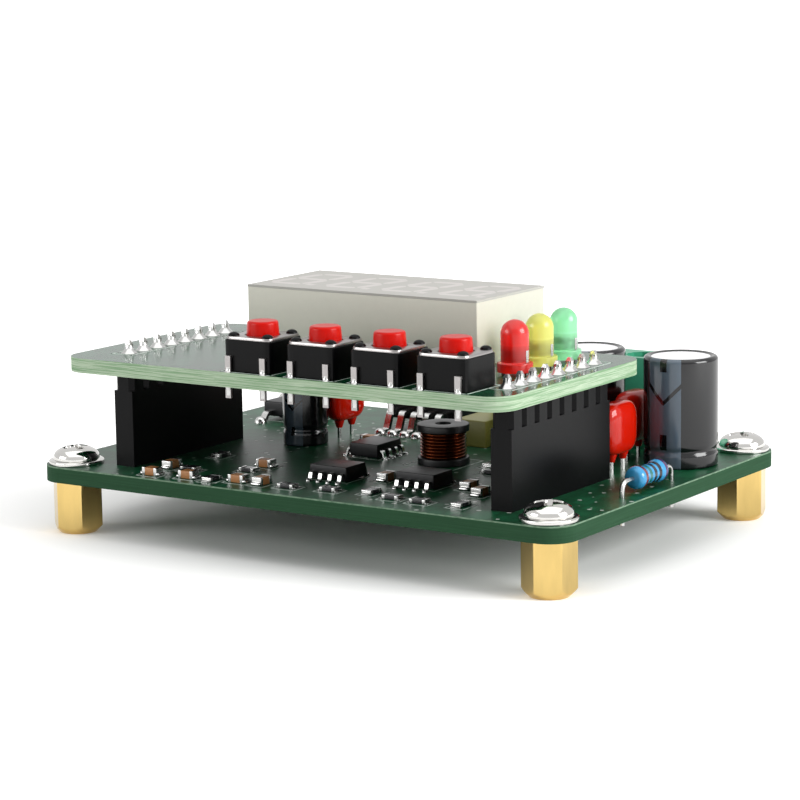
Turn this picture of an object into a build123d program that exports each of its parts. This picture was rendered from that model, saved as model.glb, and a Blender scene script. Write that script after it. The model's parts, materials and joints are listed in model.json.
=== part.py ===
# A buck converter module: a power board on four brass standoffs, and a display
# board with buttons that plugs into two header rows above it.
# Frame: millimetres, +Z up, X along the boards' long side, the buttons towards -Y.
# The origin is the centre of the four mounting holes, on the plane of the standoff feet.
import os
from math import atan2, cos, degrees, pi, radians, sin, tan

from build123d import *

os.makedirs("parts", exist_ok=True)

# Power board, the lower one
board_length = 68.0
board_width = 49.5
board_thickness = 1.8
board_corner_radius = 3.0
mount_hole_inset = 3.25
mount_hole_diameter = 3.4
right_edge = board_length / 2

# Brass hexagon standoffs under the power board
standoff_height = 6.0
standoff_flats = 5.0
standoff_bore = 3.0
standoff_bore_depth = 3.4
standoff_foot_height = 0.8
standoff_foot_inset = 0.4
standoff_turns = [0.0, 30.0, 0.0, 0.0]

# Pan head screws with a washer face, through the power board into the standoffs
screw_shank_diameter = 2.9
screw_length = 4.0
screw_washer_diameter = 6.2
screw_washer_thickness = 0.4
screw_head_diameter = 5.2
screw_head_height = 2.0
screw_shoulder_diameter = 4.2
screw_shoulder_height = 1.45
screw_crown_diameter = 2.6
screw_recess_length = 2.8
screw_recess_width = 0.7
screw_recess_depth = 1.2
screw_recess_taper = 12.0

# Two header rows that carry the display board
pin_pitch = 2.54
pins_per_row = 8
header_row_spacing = 49.1
header_centre_y = -10.31
socket_width = 2.5
socket_height = 8.5
socket_cell = 1.3
strip_width = 2.5
strip_height = 2.5
strip_notch = 0.7
pin_width = 0.64
pin_above_strip = 3.0
pin_below_strip = 6.0
pin_tip_height = 0.4
pin_tip_width = 0.32
contact_leaf_thickness = 0.16
contact_leaf_height = 4.5
contact_base_thickness = 0.3
contact_base_lift = 0.3
contact_width = 0.5
contact_tail_width = 0.6
contact_grip_fit = 0.02

# Display board, the upper one
display_board_length = 57.2
display_board_width = 30.0
display_board_thickness = 1.6
display_board_corner_radius = 3.0
display_board_x = -1.1
display_board_y = -10.0

# Leads and their plated holes
lead_fit = 0.03
tail_below_board = 1.2

# Sides that round forms are drawn with: fine wires, small forms that repeat, and larger ones
wire_sides = 6
round_sides = 12
can_sides = 18

# Tact switches, each 6 mm square
switch_count = 4
switch_pitch = 8.1
switch_row_x = 7.64
switch_row_y = -21.3
switch_size = 6.0
switch_corner_cut = 0.5
switch_body_height = 3.46
switch_floor = 1.0
switch_well_diameter = 4.4
stake_diameter = 1.2
stake_spacing = 4.4
stake_height = 0.35
cover_thickness = 0.3
cover_corner_cut = 1.0
cover_gap = 0.02
leg_spacing = 4.5
leg_width = 0.7
leg_thickness = 0.3
leg_stand_off = 0.1
leg_root_depth = 0.4
leg_shoulder_height = 1.75
dome_diameter = 4.0
dome_crown_diameter = 2.4
dome_rise = 0.35

# Buttons
button_travel = 0.25
button_root_diameter = 3.6
button_top_diameter = 3.3
button_height = 1.5
button_edge_cut = 0.2
button_hole_clearance = 0.1
button_flange_diameter = 4.2
button_flange_thickness = 0.5
button_flange_gap = 0.05
button_plunger_diameter = 2.0
button_dome_gap = 0.05

# Four digit display
display_length = 30.1
display_depth = 14.0
display_height = 7.2
display_x = 0.2
display_y = -2.95
display_face_thickness = 0.25
digit_count = 4
digit_pitch = 7.4
digit_height = 8.2
digit_width = 4.2
digit_slant = 10.0
segment_width = 1.1
segment_gap = 0.25
point_size = 1.0
point_offset = 1.2
display_pin_columns = 6
display_pin_row_spacing = 10.16
display_pin_width = 0.5

# Light emitting diodes, 3 mm
led_x = 20.8
led_middle_y = -6.35
led_pitch = 5.08
led_colours = ["red", "yellow", "green"]
led_diameter = 3.0
led_flange_diameter = 3.8
led_flange_height = 1.0
led_flat_inset = 0.3
led_height = 5.5
led_dome_angles = [0.0, 30.0, 60.0, 85.0]
led_stand_off = 0.3
led_lead_spacing = 2.54
led_lead_width = 0.5
led_post_height = 2.3
led_anvil_height = 0.7
led_anvil_edge = 0.18
led_post_edge = 0.52

# Electrolytic capacitors: x, y, can diameter, can height, lead spacing
electrolytics = [
    (right_edge - 5.5, 11.0, 7.8, 11.8, 3.5),
    (right_edge - 17.3, 11.4, 7.8, 11.8, 3.5),
    (-15.0, 0.85, 4.8, 6.8, 2.0),
]
sleeve_thickness = 0.2
sleeve_lip = 0.7
can_groove_height = 1.9
can_groove_length = 0.8
can_groove_depth = 0.15
can_lead_diameter = 0.6

# Dipped film capacitors: x, y, long side along Y
film_capacitors = [(right_edge - 9.5, 3.8), (right_edge - 11.5, 11.0), (-13.5, 6.8)]
film_width = 6.4
film_thickness = 2.8
film_height = 7.0
film_stand_off = 1.2
film_edge_cut = 0.8
film_foot_height = 1.0
film_foot_width = 1.3
film_foot_taper = 14.0
film_lead_spacing = 2.54
film_lead_diameter = 0.5

# Axial resistor, lying along Y
resistor_x = right_edge - 2.2
resistor_y = -2.9
resistor_length = 6.2
resistor_end_diameter = 2.5
resistor_waist_diameter = 2.1
resistor_end_length = 1.7
resistor_end_cut = 0.6
resistor_axis_height = 1.55
resistor_lead_diameter = 0.55
resistor_lead_spacing = 10.9
resistor_lead_bend = 0.9

# Drum core inductor
inductor_x = 5.5
inductor_y = -1.6
inductor_diameter = 5.8
inductor_height = 4.5
inductor_flange_thickness = 0.8
inductor_neck_diameter = 3.0
inductor_winding_diameter = 5.2

# Share of a power package's depth that its metal tab runs under
tab_share = 0.8

# Regulator with five leads and a soldered tab
regulator_x = -7.05
regulator_front_y = 13.5
regulator_width = 10.1
regulator_depth = 8.6
regulator_height = 4.4
regulator_tab_thickness = 1.27
regulator_tab_width = 8.0
regulator_tab_reach = 1.3
regulator_edge_cut = 0.6
regulator_lead_count = 5
regulator_lead_pitch = 1.7
regulator_lead_width = 0.8
regulator_lead_thickness = 0.4
regulator_lead_reach = 4.5
regulator_lead_rise = 2.2
regulator_foot_length = 1.4

# Power transistor with two leads and a soldered tab
transistor_x = 8.8 - right_edge
transistor_front_y = 11.0
transistor_width = 6.6
transistor_depth = 6.1
transistor_height = 2.3
transistor_tab_thickness = 0.5
transistor_tab_width = 5.2
transistor_tab_reach = 0.9
transistor_edge_cut = 0.25
transistor_lead_pitch = 4.6
transistor_lead_width = 0.8
transistor_lead_thickness = 0.5
transistor_lead_reach = 2.5
transistor_lead_rise = 0.7
transistor_foot_length = 0.8

# Eight lead chips on the power board: x, y, turn about Z
chips = [(0.0, -14.3, 0.0), (10.45, -13.2, 0.0), (-3.9, -1.2, 90.0)]
chip_length = 4.9
chip_width = 3.9
chip_height = 1.5
chip_stand_off = 0.15
chip_side_draft = 7.0
chip_leads_per_side = 4
chip_lead_pitch = 1.27
chip_lead_width = 0.42
chip_lead_thickness = 0.2
chip_lead_reach = 1.05
chip_foot_length = 0.5

# Controller chip under the display board, with seven of the same leads on each side
controller_x = -8.0
controller_y = -12.0
controller_length = 8.7
controller_leads_per_side = 7

# Chip capacitors and chip resistors on the power board: x, y, turn about Z
chip_capacitors = [
    (-18.8, -22.9, 0.0), (-14.2, -22.4, 0.0), (-8.1, -21.5, 0.0), (-5.2, -21.2, 90.0),
    (-19.5, -18.6, 90.0), (5.3, -12.8, 90.0), (15.6, -12.4, 90.0), (18.4, -14.6, 90.0),
    (-10.6, -13.0, 0.0), (-8.6, 4.6, 0.0),
]
chip_resistors = [
    (-11.2, -22.2, 90.0), (-1.6, -21.4, 0.0), (3.3, -20.6, 0.0), (7.8, -19.4, 90.0),
    (11.4, -20.8, 0.0), (15.0, -21.05, 0.0), (19.6, -20.4, 90.0), (-16.6, -18.9, 0.0),
    (-10.6, -16.2, 0.0), (11.3, -0.9, 90.0), (-18.6, -10.8, 90.0), (13.4, -4.2, 0.0),
]
chip_part_length = 2.0
chip_part_width = 1.25
chip_capacitor_height = 0.9
chip_resistor_height = 0.5

# Moulded tantalum capacitor
tantalum_x = 3.0
tantalum_y = 11.6
tantalum_length = 7.3
tantalum_width = 4.3
tantalum_height = 3.1

# Screw terminal block on the back edge
terminal_ways = 4
terminal_pitch = 5.08
terminal_x = 11.15
terminal_front_y = 16.0
terminal_depth = 8.5
terminal_height = 10.2
terminal_slope_height = 3.6
terminal_slope_depth = 1.6
terminal_entry_width = 3.6
terminal_entry_height = 3.6
terminal_entry_floor = 1.0
terminal_entry_depth = 6.5
terminal_well_diameter = 3.8
terminal_well_inset = 4.3
cage_wall = 0.5
cage_fit = 0.05
cage_depth = 4.2
terminal_screw_diameter = 2.5
terminal_screw_head_diameter = 3.5
terminal_screw_head_height = 1.8
terminal_screw_slot = 0.6
terminal_screw_slot_depth = 0.8
terminal_pin_width = 1.0

# Heights that follow from the stack
board_bottom = standoff_height
board_top = board_bottom + board_thickness
socket_top = board_top + socket_height
strip_top = socket_top + strip_height
display_board_top = strip_top + display_board_thickness
cover_bottom = switch_body_height + cover_gap
tail_bottom = board_bottom - tail_below_board
upper_tail_bottom = strip_top - tail_below_board

# Places that follow from the sizes above
mount_x = right_edge - mount_hole_inset
mount_y = board_width / 2 - mount_hole_inset
mount_points = [(-mount_x, -mount_y), (mount_x, -mount_y), (-mount_x, mount_y), (mount_x, mount_y)]
row_ys = [header_centre_y + (i - (pins_per_row - 1) / 2) * pin_pitch for i in range(pins_per_row)]
row_length = pins_per_row * pin_pitch
switch_xs = [switch_row_x + (i - (switch_count - 1) / 2) * switch_pitch for i in range(switch_count)]
leg_centre = switch_size / 2 + leg_stand_off + leg_thickness / 2
led_points = [(led_x, led_middle_y + (i - 1) * led_pitch) for i in range(len(led_colours))]
can_leads = [
    (x, y + side * spacing / 2)
    for x, y, diameter, height, spacing in electrolytics for side in (-1, 1)
]
film_leads = [(x, y + side * film_lead_spacing / 2) for x, y in film_capacitors for side in (-1, 1)]
resistor_leads = [(resistor_x, resistor_y + side * resistor_lead_spacing / 2) for side in (-1, 1)]
terminal_xs = [terminal_x + (i - (terminal_ways - 1) / 2) * terminal_pitch for i in range(terminal_ways)]
terminal_well_y = terminal_front_y + terminal_depth - terminal_well_inset


def keep(piece, name):
    """Name a finished piece and write it as its own file."""
    piece.label = name
    export_step(piece, f"parts/{name}.step")


def place(piece, name, *points):
    """Stand a copy of a piece on each point and write them as one node."""
    with BuildPart() as node:
        with Locations(*points):
            add(piece)
    keep(node.part, name)


def turned(sides, *rings):
    """A turned form drawn with flat sides: rings of (radius, height), each joined to the next.

    Two rings at one height make a step."""
    with BuildPart() as form:
        for (low_radius, low), (high_radius, high) in zip(rings, rings[1:]):
            if high > low:
                with BuildSketch(Plane.XY.offset(low)):
                    RegularPolygon(low_radius, sides)
                side_step = (low_radius - high_radius) * cos(pi / sides)
                extrude(amount=high - low, taper=degrees(atan2(side_step, high - low)))
    return form.part


# Power board: fibreglass sheet with the mounting holes and every plated hole
header_holes = [(side * header_row_spacing / 2, y) for side in (-1, 1) for y in row_ys]
with BuildPart() as power_board:
    with BuildSketch(Plane.XY.offset(board_bottom)):
        RectangleRounded(board_length, board_width, board_corner_radius)
        with Locations(*mount_points):
            RegularPolygon(mount_hole_diameter / 2, can_sides, mode=Mode.SUBTRACT)
        with Locations(*header_holes):
            Rectangle(contact_tail_width + lead_fit, contact_width + lead_fit, mode=Mode.SUBTRACT)
        with Locations(*can_leads):
            RegularPolygon((can_lead_diameter + lead_fit) / 2, wire_sides, mode=Mode.SUBTRACT)
        with Locations(*film_leads):
            RegularPolygon((film_lead_diameter + lead_fit) / 2, wire_sides, mode=Mode.SUBTRACT)
        with Locations(*resistor_leads):
            RegularPolygon((resistor_lead_diameter + lead_fit) / 2, wire_sides, mode=Mode.SUBTRACT)
        with Locations(*[(x, terminal_well_y) for x in terminal_xs]):
            Rectangle(terminal_pin_width + lead_fit, terminal_pin_width + lead_fit, mode=Mode.SUBTRACT)
    extrude(amount=board_thickness)
keep(power_board.part, "power_board")


# Standoffs: hexagon bar, turned to a cone at the foot and bored right through. The bore is open from
# below for a mounting screw, and above that depth it holds the shank of the board's own screw.
foot_radius = standoff_flats / 2 - standoff_foot_inset
corner_radius = standoff_flats / 2 / cos(radians(30))
with BuildPart() as one_standoff:
    with BuildSketch():
        RegularPolygon(standoff_flats / 2, 6, major_radius=False)
    extrude(amount=standoff_height)
    add(turned(round_sides, (foot_radius, 0), (corner_radius, standoff_foot_height),
               (corner_radius, standoff_height)), mode=Mode.INTERSECT)
    with BuildSketch():
        Circle(standoff_bore / 2)
    extrude(amount=standoff_bore_depth, mode=Mode.SUBTRACT)
    with BuildSketch(Plane.XY.offset(standoff_bore_depth)):
        RegularPolygon(screw_shank_diameter / 2 + lead_fit, round_sides)
    extrude(amount=standoff_height - standoff_bore_depth, mode=Mode.SUBTRACT)

with BuildPart() as standoffs:
    for (x, y), turn in zip(mount_points, standoff_turns):
        with Locations(Location((x, y, 0), (0, 0, turn))):
            add(one_standoff.part)
keep(standoffs.part, "standoffs")


# Screws: washer face, domed head with a cross recess, and a plain shank for the fine thread
with BuildPart() as one_screw:
    add(turned(
        round_sides, (screw_washer_diameter / 2, 0), (screw_washer_diameter / 2, screw_washer_thickness),
        (screw_head_diameter / 2, screw_washer_thickness),
        (screw_shoulder_diameter / 2, screw_shoulder_height), (screw_crown_diameter / 2, screw_head_height),
    ))
    with BuildSketch():
        RegularPolygon(screw_shank_diameter / 2, round_sides)
    extrude(amount=-screw_length)
    with BuildSketch(Plane.XY.offset(screw_head_height)):
        Rectangle(screw_recess_length, screw_recess_width)
        Rectangle(screw_recess_width, screw_recess_length)
    extrude(amount=-screw_recess_depth, taper=screw_recess_taper, mode=Mode.SUBTRACT)
place(one_screw.part, "standoff_screws", *[(x, y, board_top) for x, y in mount_points])


# Header rows: a tall socket strip on the power board, its contacts, and the pin strip above it
for side, row in ((-1, "left"), (1, "right")):
    row_x = side * header_row_spacing / 2
    cells = [(row_x, y) for y in row_ys]
    with BuildPart() as socket_strip:
        with BuildSketch(Plane.XY.offset(board_top)):
            with Locations((row_x, header_centre_y)):
                Rectangle(socket_width, row_length)
            with Locations(*cells):
                Rectangle(socket_cell, socket_cell, mode=Mode.SUBTRACT)
        extrude(amount=socket_height)
    keep(socket_strip.part, f"{row}_socket_strip")

    with BuildPart() as pin_strip:
        with BuildSketch(Plane.XY.offset(socket_top)):
            with Locations(*cells):
                Rectangle(strip_width, pin_pitch)
            with Locations(*[(row_x + edge * strip_width / 2, y + end * pin_pitch / 2)
                             for y in row_ys for edge in (-1, 1) for end in (-1, 1)]):
                Rectangle(strip_notch, strip_notch, rotation=45, mode=Mode.SUBTRACT)
            with Locations(*cells):
                Rectangle(pin_width + lead_fit, pin_width + lead_fit, mode=Mode.SUBTRACT)
        extrude(amount=strip_height)
    keep(pin_strip.part, f"{row}_pin_strip")

    with BuildPart() as header_pins:
        with BuildSketch(Plane.XY.offset(socket_top - pin_below_strip)):
            with Locations(*cells):
                Rectangle(pin_width, pin_width)
        extrude(amount=pin_below_strip + strip_height + pin_above_strip - pin_tip_height)
        with BuildSketch(Plane.XY.offset(strip_top + pin_above_strip - pin_tip_height)) as tip_root:
            with Locations(*cells):
                Rectangle(pin_width, pin_width)
        tip_taper = Vector(pin_width - pin_tip_width, 2 * pin_tip_height).get_angle(Vector(0, 1))
        extrude(tip_root.sketch, amount=pin_tip_height, taper=tip_taper)
    keep(header_pins.part, f"{row}_header_pins")

    # each contact is a leaf that presses on the pin, on a tail through the board
    grip = pin_width / 2 + contact_grip_fit
    leaf = grip + contact_leaf_thickness
    tail = contact_tail_width / 2
    base = board_top + contact_base_lift
    leaf_top = socket_top - pin_below_strip + contact_leaf_height
    with BuildPart() as socket_contacts:
        for y in row_ys:
            with BuildSketch(Plane((row_x, y, 0), x_dir=(1, 0, 0), z_dir=(0, -1, 0))):
                Polygon(
                    (-tail, tail_bottom), (tail, tail_bottom), (tail, base + contact_base_thickness),
                    (-grip, base + contact_base_thickness), (-grip, leaf_top), (-leaf, leaf_top),
                    (-leaf, base), (-tail, base), align=None,
                )
            extrude(amount=contact_width / 2, both=True)
    keep(socket_contacts.part, f"{row}_socket_contacts")


# Four digit display: segment bars in the slanted frame of each digit
slant = tan(radians(digit_slant))
digit_xs = [(i - (digit_count - 1) / 2) * digit_pitch for i in range(digit_count)]
half_stroke = digit_height / 4
long_bar = digit_height / 2 - segment_gap
cross_bar = digit_width - segment_gap
bars = []
for digit_x in digit_xs:
    for level in (-1, 0, 1):
        y = level * digit_height / 2
        bars.append((digit_x + y * slant, y, cross_bar, 0.0))
    for level in (-1, 1):
        for edge in (-1, 1):
            y = level * half_stroke
            bars.append((digit_x + y * slant + edge * digit_width / 2, y, long_bar, 90.0 - digit_slant))
points = [(x + digit_width / 2 - digit_height / 2 * slant + point_offset, -digit_height / 2)
          for x in digit_xs]


def segment_shapes():
    """The lit shapes of the face: pointed bars and square points."""
    for x, y, length, turn in bars:
        tip = length / 2
        side = segment_width / 2
        with Locations(Location((display_x + x, display_y + y), turn)):
            Polygon((-tip, 0), (side - tip, -side), (tip - side, -side),
                    (tip, 0), (tip - side, side), (side - tip, side), align=None)
    with Locations(*[(display_x + x, display_y + y) for x, y in points]):
        Rectangle(point_size, point_size)


shell_top = display_board_top + display_height - display_face_thickness
with BuildPart() as display_shell:
    with BuildSketch(Plane.XY.offset(display_board_top)):
        with Locations((display_x, display_y)):
            Rectangle(display_length, display_depth)
    extrude(amount=display_height - display_face_thickness)
keep(display_shell.part, "display_shell")

with BuildPart() as display_segments:
    with BuildSketch(Plane.XY.offset(shell_top)):
        segment_shapes()
    extrude(amount=display_face_thickness)
keep(display_segments.part, "display_segments")

with BuildPart() as display_face:
    with BuildSketch(Plane.XY.offset(shell_top)):
        with Locations((display_x, display_y)):
            Rectangle(display_length, display_depth)
    extrude(amount=display_face_thickness)
    add(display_segments.part, mode=Mode.SUBTRACT)
keep(display_face.part, "display_face")

display_pin_points = [
    (display_x + (i - (display_pin_columns - 1) / 2) * pin_pitch,
     display_y + side * display_pin_row_spacing / 2)
    for i in range(display_pin_columns) for side in (-1, 1)
]
with BuildPart() as display_pins:
    with BuildSketch(Plane.XY.offset(upper_tail_bottom)):
        with Locations(*display_pin_points):
            Rectangle(display_pin_width, display_pin_width)
    extrude(amount=display_board_top - upper_tail_bottom)
keep(display_pins.part, "display_pins")


# Light emitting diodes: a stamped lead frame cast into a clear lens
frame_bottom = upper_tail_bottom - display_board_top - led_stand_off
lead_near = led_lead_spacing / 2 - led_lead_width / 2
lead_far = led_lead_spacing / 2 + led_lead_width / 2
with BuildPart() as one_led_frame:
    with BuildSketch(Plane.XZ):
        Polygon(
            (-lead_far, frame_bottom), (-lead_near, frame_bottom),
            (-lead_near, led_post_height - led_anvil_height),
            (led_anvil_edge, led_post_height - led_anvil_height), (led_anvil_edge, led_post_height),
            (-lead_far, led_post_height), align=None,
        )
        Polygon(
            (lead_near, frame_bottom), (lead_far, frame_bottom), (lead_far, led_post_height),
            (led_post_edge, led_post_height), (led_post_edge, led_post_height - led_lead_width),
            (lead_near, led_post_height - led_lead_width), align=None,
        )
    extrude(amount=led_lead_width / 2, both=True)

radius = led_diameter / 2
flange = led_flange_diameter / 2
dome_centre = led_height - radius
dome_rings = [(radius * cos(radians(a)), dome_centre + radius * sin(radians(a))) for a in led_dome_angles]
with BuildPart() as one_led_lens:
    add(turned(round_sides, (flange, 0), (flange, led_flange_height), (radius, led_flange_height), *dome_rings))
    with BuildSketch():
        with Locations((-flange, 0)):
            Rectangle(2 * led_flat_inset, led_flange_diameter)
    extrude(amount=led_flange_height, mode=Mode.SUBTRACT)
    add(one_led_frame.part, mode=Mode.SUBTRACT)

led_seats = [(x, y, display_board_top + led_stand_off) for x, y in led_points]
place(one_led_frame.part, "led_leads", *led_seats)
for seat, colour in zip(led_seats, led_colours):
    place(one_led_lens.part, f"{colour}_led_lens", seat)


# Tact switches: moulded body with a round well, four stakes and pockets for the legs
with BuildPart() as one_switch_body:
    with BuildSketch() as outline:
        Rectangle(switch_size, switch_size)
        chamfer(outline.vertices(), switch_corner_cut)
    extrude(amount=switch_body_height)
    with BuildSketch(Plane.XY.offset(switch_floor)):
        RegularPolygon(switch_well_diameter / 2, round_sides)
    extrude(amount=switch_body_height, mode=Mode.SUBTRACT)
    with BuildSketch(Plane.XY.offset(switch_body_height)):
        with GridLocations(stake_spacing, stake_spacing, 2, 2):
            RegularPolygon(stake_diameter / 2, wire_sides)
    extrude(amount=cover_gap + cover_thickness + stake_height)
    pocket_y = switch_size / 2 - leg_root_depth / 2
    with Locations(*[(x, side * pocket_y, leg_shoulder_height - leg_thickness / 2)
                     for x in (-leg_spacing / 2, leg_spacing / 2) for side in (-1, 1)]):
        Box(leg_width + 2 * lead_fit, leg_root_depth + 2 * lead_fit, leg_thickness + 2 * lead_fit,
            mode=Mode.SUBTRACT)

with BuildPart() as one_switch_cover:
    with BuildSketch(Plane.XY.offset(cover_bottom)) as plate:
        Rectangle(switch_size, switch_size)
        chamfer(plate.vertices(), cover_corner_cut)
        RegularPolygon(button_root_diameter / 2 + button_hole_clearance, round_sides, mode=Mode.SUBTRACT)
        with GridLocations(stake_spacing, stake_spacing, 2, 2):
            RegularPolygon(stake_diameter / 2 + lead_fit, wire_sides, mode=Mode.SUBTRACT)
    extrude(amount=cover_thickness)

# the snap dome is a shallow pressed disc on the floor of the well
one_dome = turned(round_sides, (dome_diameter / 2, 0), (dome_crown_diameter / 2, dome_rise))

flange_top = cover_bottom - button_flange_gap
plunger_bottom = switch_floor + dome_rise + button_travel + button_dome_gap
button_top = cover_bottom + cover_thickness + button_height
one_button = turned(
    round_sides, (button_plunger_diameter / 2, plunger_bottom),
    (button_plunger_diameter / 2, flange_top - button_flange_thickness),
    (button_flange_diameter / 2, flange_top - button_flange_thickness),
    (button_flange_diameter / 2, flange_top), (button_root_diameter / 2, flange_top),
    (button_top_diameter / 2, button_top - button_edge_cut),
    (button_top_diameter / 2 - button_edge_cut, button_top),
)

# a pair of legs, one on each side, bent down from the body and through the board
with BuildPart() as leg_pair:
    root_y = switch_size / 2 - leg_root_depth
    inner_y = leg_centre - leg_thickness / 2
    outer_y = leg_centre + leg_thickness / 2
    leg_end = upper_tail_bottom - display_board_top
    for side in (-1, 1):
        with BuildSketch(Plane.YZ):
            Polygon(
                (side * root_y, leg_shoulder_height - leg_thickness),
                (side * inner_y, leg_shoulder_height - leg_thickness), (side * inner_y, leg_end),
                (side * outer_y, leg_end), (side * outer_y, leg_shoulder_height),
                (side * root_y, leg_shoulder_height), align=None,
            )
        extrude(amount=leg_width / 2, both=True)

for number, x in enumerate(switch_xs, 1):
    seat = (x, switch_row_y, display_board_top)
    place(one_switch_body.part, f"switch_base_{number}", seat)
    place(one_switch_cover.part, f"switch_cover_{number}", seat)
    place(one_button, f"button_{number}", seat)
place(one_dome, "switch_domes", *[(x, switch_row_y, display_board_top + switch_floor) for x in switch_xs])
leg_xs = [x + side * leg_spacing / 2 for x in switch_xs for side in (-1, 1)]
place(leg_pair.part, "switch_legs", *[(x, switch_row_y, display_board_top) for x in leg_xs])


# Display board, with a hole for every lead that passes through it
with BuildPart() as display_board:
    with BuildSketch(Plane.XY.offset(strip_top)):
        with Locations((display_board_x, display_board_y)):
            RectangleRounded(display_board_length, display_board_width, display_board_corner_radius)
        with Locations(*header_holes):
            Rectangle(pin_width + lead_fit, pin_width + lead_fit, mode=Mode.SUBTRACT)
        with Locations(*display_pin_points):
            Rectangle(display_pin_width + lead_fit, display_pin_width + lead_fit, mode=Mode.SUBTRACT)
        with Locations(*[(x + side * led_lead_spacing / 2, y) for x, y in led_points for side in (-1, 1)]):
            Rectangle(led_lead_width + lead_fit, led_lead_width + lead_fit, mode=Mode.SUBTRACT)
        with Locations(*[(x, switch_row_y + side * leg_centre) for x in leg_xs for side in (-1, 1)]):
            Rectangle(leg_width + lead_fit, leg_thickness + lead_fit, mode=Mode.SUBTRACT)
    extrude(amount=display_board_thickness)
keep(display_board.part, "display_board")


# Electrolytic capacitors: a closed can in a shrink sleeve whose lip curls over the can's edge
with BuildPart() as capacitor_cans:
    for x, y, diameter, height, spacing in electrolytics:
        with BuildSketch(Plane.XY.offset(board_top + sleeve_thickness)):
            with Locations((x, y)):
                RegularPolygon(diameter / 2, can_sides)
        extrude(amount=height)
keep(capacitor_cans.part, "capacitor_cans")

with BuildPart() as capacitor_sleeves:
    for x, y, diameter, height, spacing in electrolytics:
        radius = diameter / 2
        outer = radius + sleeve_thickness
        can_top = sleeve_thickness + height
        film = turned(can_sides, (outer, 0), (outer, can_groove_height - can_groove_length / 2),
                      (outer - can_groove_depth, can_groove_height),
                      (outer, can_groove_height + can_groove_length / 2), (outer, can_top),
                      (radius, can_top + sleeve_thickness))
        hollow = turned(can_sides, (radius, 0), (radius, can_top), (radius - sleeve_lip, can_top),
                        (radius - sleeve_lip, can_top + sleeve_thickness))
        with Locations((x, y, board_top)):
            add(film - hollow)
keep(capacitor_sleeves.part, "capacitor_sleeves")

with BuildPart() as capacitor_leads:
    with BuildSketch(Plane.XY.offset(tail_bottom)):
        with Locations(*can_leads):
            RegularPolygon(can_lead_diameter / 2, wire_sides)
    extrude(amount=board_top + sleeve_thickness - tail_bottom)
keep(capacitor_leads.part, "capacitor_leads")


# Film capacitors: a dipped body with round sides, running down to two feet on the leads
with BuildPart() as one_film_capacitor:
    body_bottom = film_stand_off + film_foot_height
    half_straight = (film_width - film_thickness) / 2
    with BuildSketch(Plane.XY.offset(body_bottom)):
        Rectangle(film_thickness, 2 * half_straight)
        with Locations((0, -half_straight), (0, half_straight)):
            RegularPolygon(film_thickness / 2, round_sides)
    extrude(amount=film_height - film_foot_height)
    chamfer(faces().sort_by(Axis.Z)[-1].edges(), film_edge_cut)
    with BuildSketch(Plane.XY.offset(body_bottom)):
        with Locations((0, -film_lead_spacing / 2), (0, film_lead_spacing / 2)):
            RegularPolygon(film_foot_width / 2, wire_sides)
    extrude(amount=-film_foot_height, taper=film_foot_taper)
film_seats = [(x, y, board_top) for x, y in film_capacitors]
for number, seat in enumerate(film_seats, 1):
    place(one_film_capacitor.part, f"film_capacitor_{number}", seat)

with BuildPart() as film_capacitor_leads:
    with BuildSketch(Plane.XY.offset(tail_bottom)):
        with Locations(*film_leads):
            RegularPolygon(film_lead_diameter / 2, wire_sides)
    extrude(amount=board_top + film_stand_off - tail_bottom)
keep(film_capacitor_leads.part, "film_capacitor_leads")


# Resistor: a dog bone body lying along Y on one bent lead at each end
resistor_height = board_top + resistor_axis_height
end_radius = resistor_end_diameter / 2
waist = resistor_waist_diameter / 2
half = resistor_length / 2
bone = turned(
    round_sides, (end_radius - resistor_end_cut, -half), (end_radius, resistor_end_cut - half),
    (waist, resistor_end_length - half), (waist, half - resistor_end_length),
    (end_radius, half - resistor_end_cut), (end_radius - resistor_end_cut, half),
)
place(bone, "resistor_body", Location((resistor_x, resistor_y, resistor_height), (90, 0, 0)))

with BuildPart() as resistor_lead_pair:
    for side in (-1, 1):
        foot_y = resistor_y + side * resistor_lead_spacing / 2
        end_y = resistor_y + side * resistor_length / 2
        with BuildLine():
            path = FilletPolyline(
                (resistor_x, foot_y, tail_bottom), (resistor_x, foot_y, resistor_height),
                (resistor_x, end_y, resistor_height), radius=resistor_lead_bend,
            )
        with BuildSketch(Plane.XY.offset(tail_bottom)):
            with Locations((resistor_x, foot_y)):
                RegularPolygon(resistor_lead_diameter / 2, wire_sides)
        sweep(path=path)
keep(resistor_lead_pair.part, "resistor_leads")


# Inductor: a ferrite drum with its copper winding round the neck
neck_top = inductor_height - inductor_flange_thickness
core = turned(
    can_sides, (inductor_diameter / 2, 0), (inductor_diameter / 2, inductor_flange_thickness),
    (inductor_neck_diameter / 2, inductor_flange_thickness), (inductor_neck_diameter / 2, neck_top),
    (inductor_diameter / 2, neck_top), (inductor_diameter / 2, inductor_height),
)
place(core, "inductor_core", (inductor_x, inductor_y, board_top))

with BuildPart() as inductor_winding:
    with BuildSketch(Plane.XY.offset(board_top + inductor_flange_thickness)):
        with Locations((inductor_x, inductor_y)):
            RegularPolygon(inductor_winding_diameter / 2, can_sides)
            RegularPolygon(inductor_neck_diameter / 2, can_sides, mode=Mode.SUBTRACT)
    extrude(amount=neck_top - inductor_flange_thickness)
keep(inductor_winding.part, "inductor_winding")


def moulded_body(length, width, height, lift, draft):
    """A moulded block with sides that lean in above and below the parting line."""
    middle = lift + height / 2
    with BuildPart() as block:
        with BuildSketch(Plane.XY.offset(middle)) as section:
            Rectangle(length, width)
        extrude(section.sketch, amount=height / 2, taper=draft)
        extrude(section.sketch, amount=-height / 2, taper=draft)
    return block.part


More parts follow.
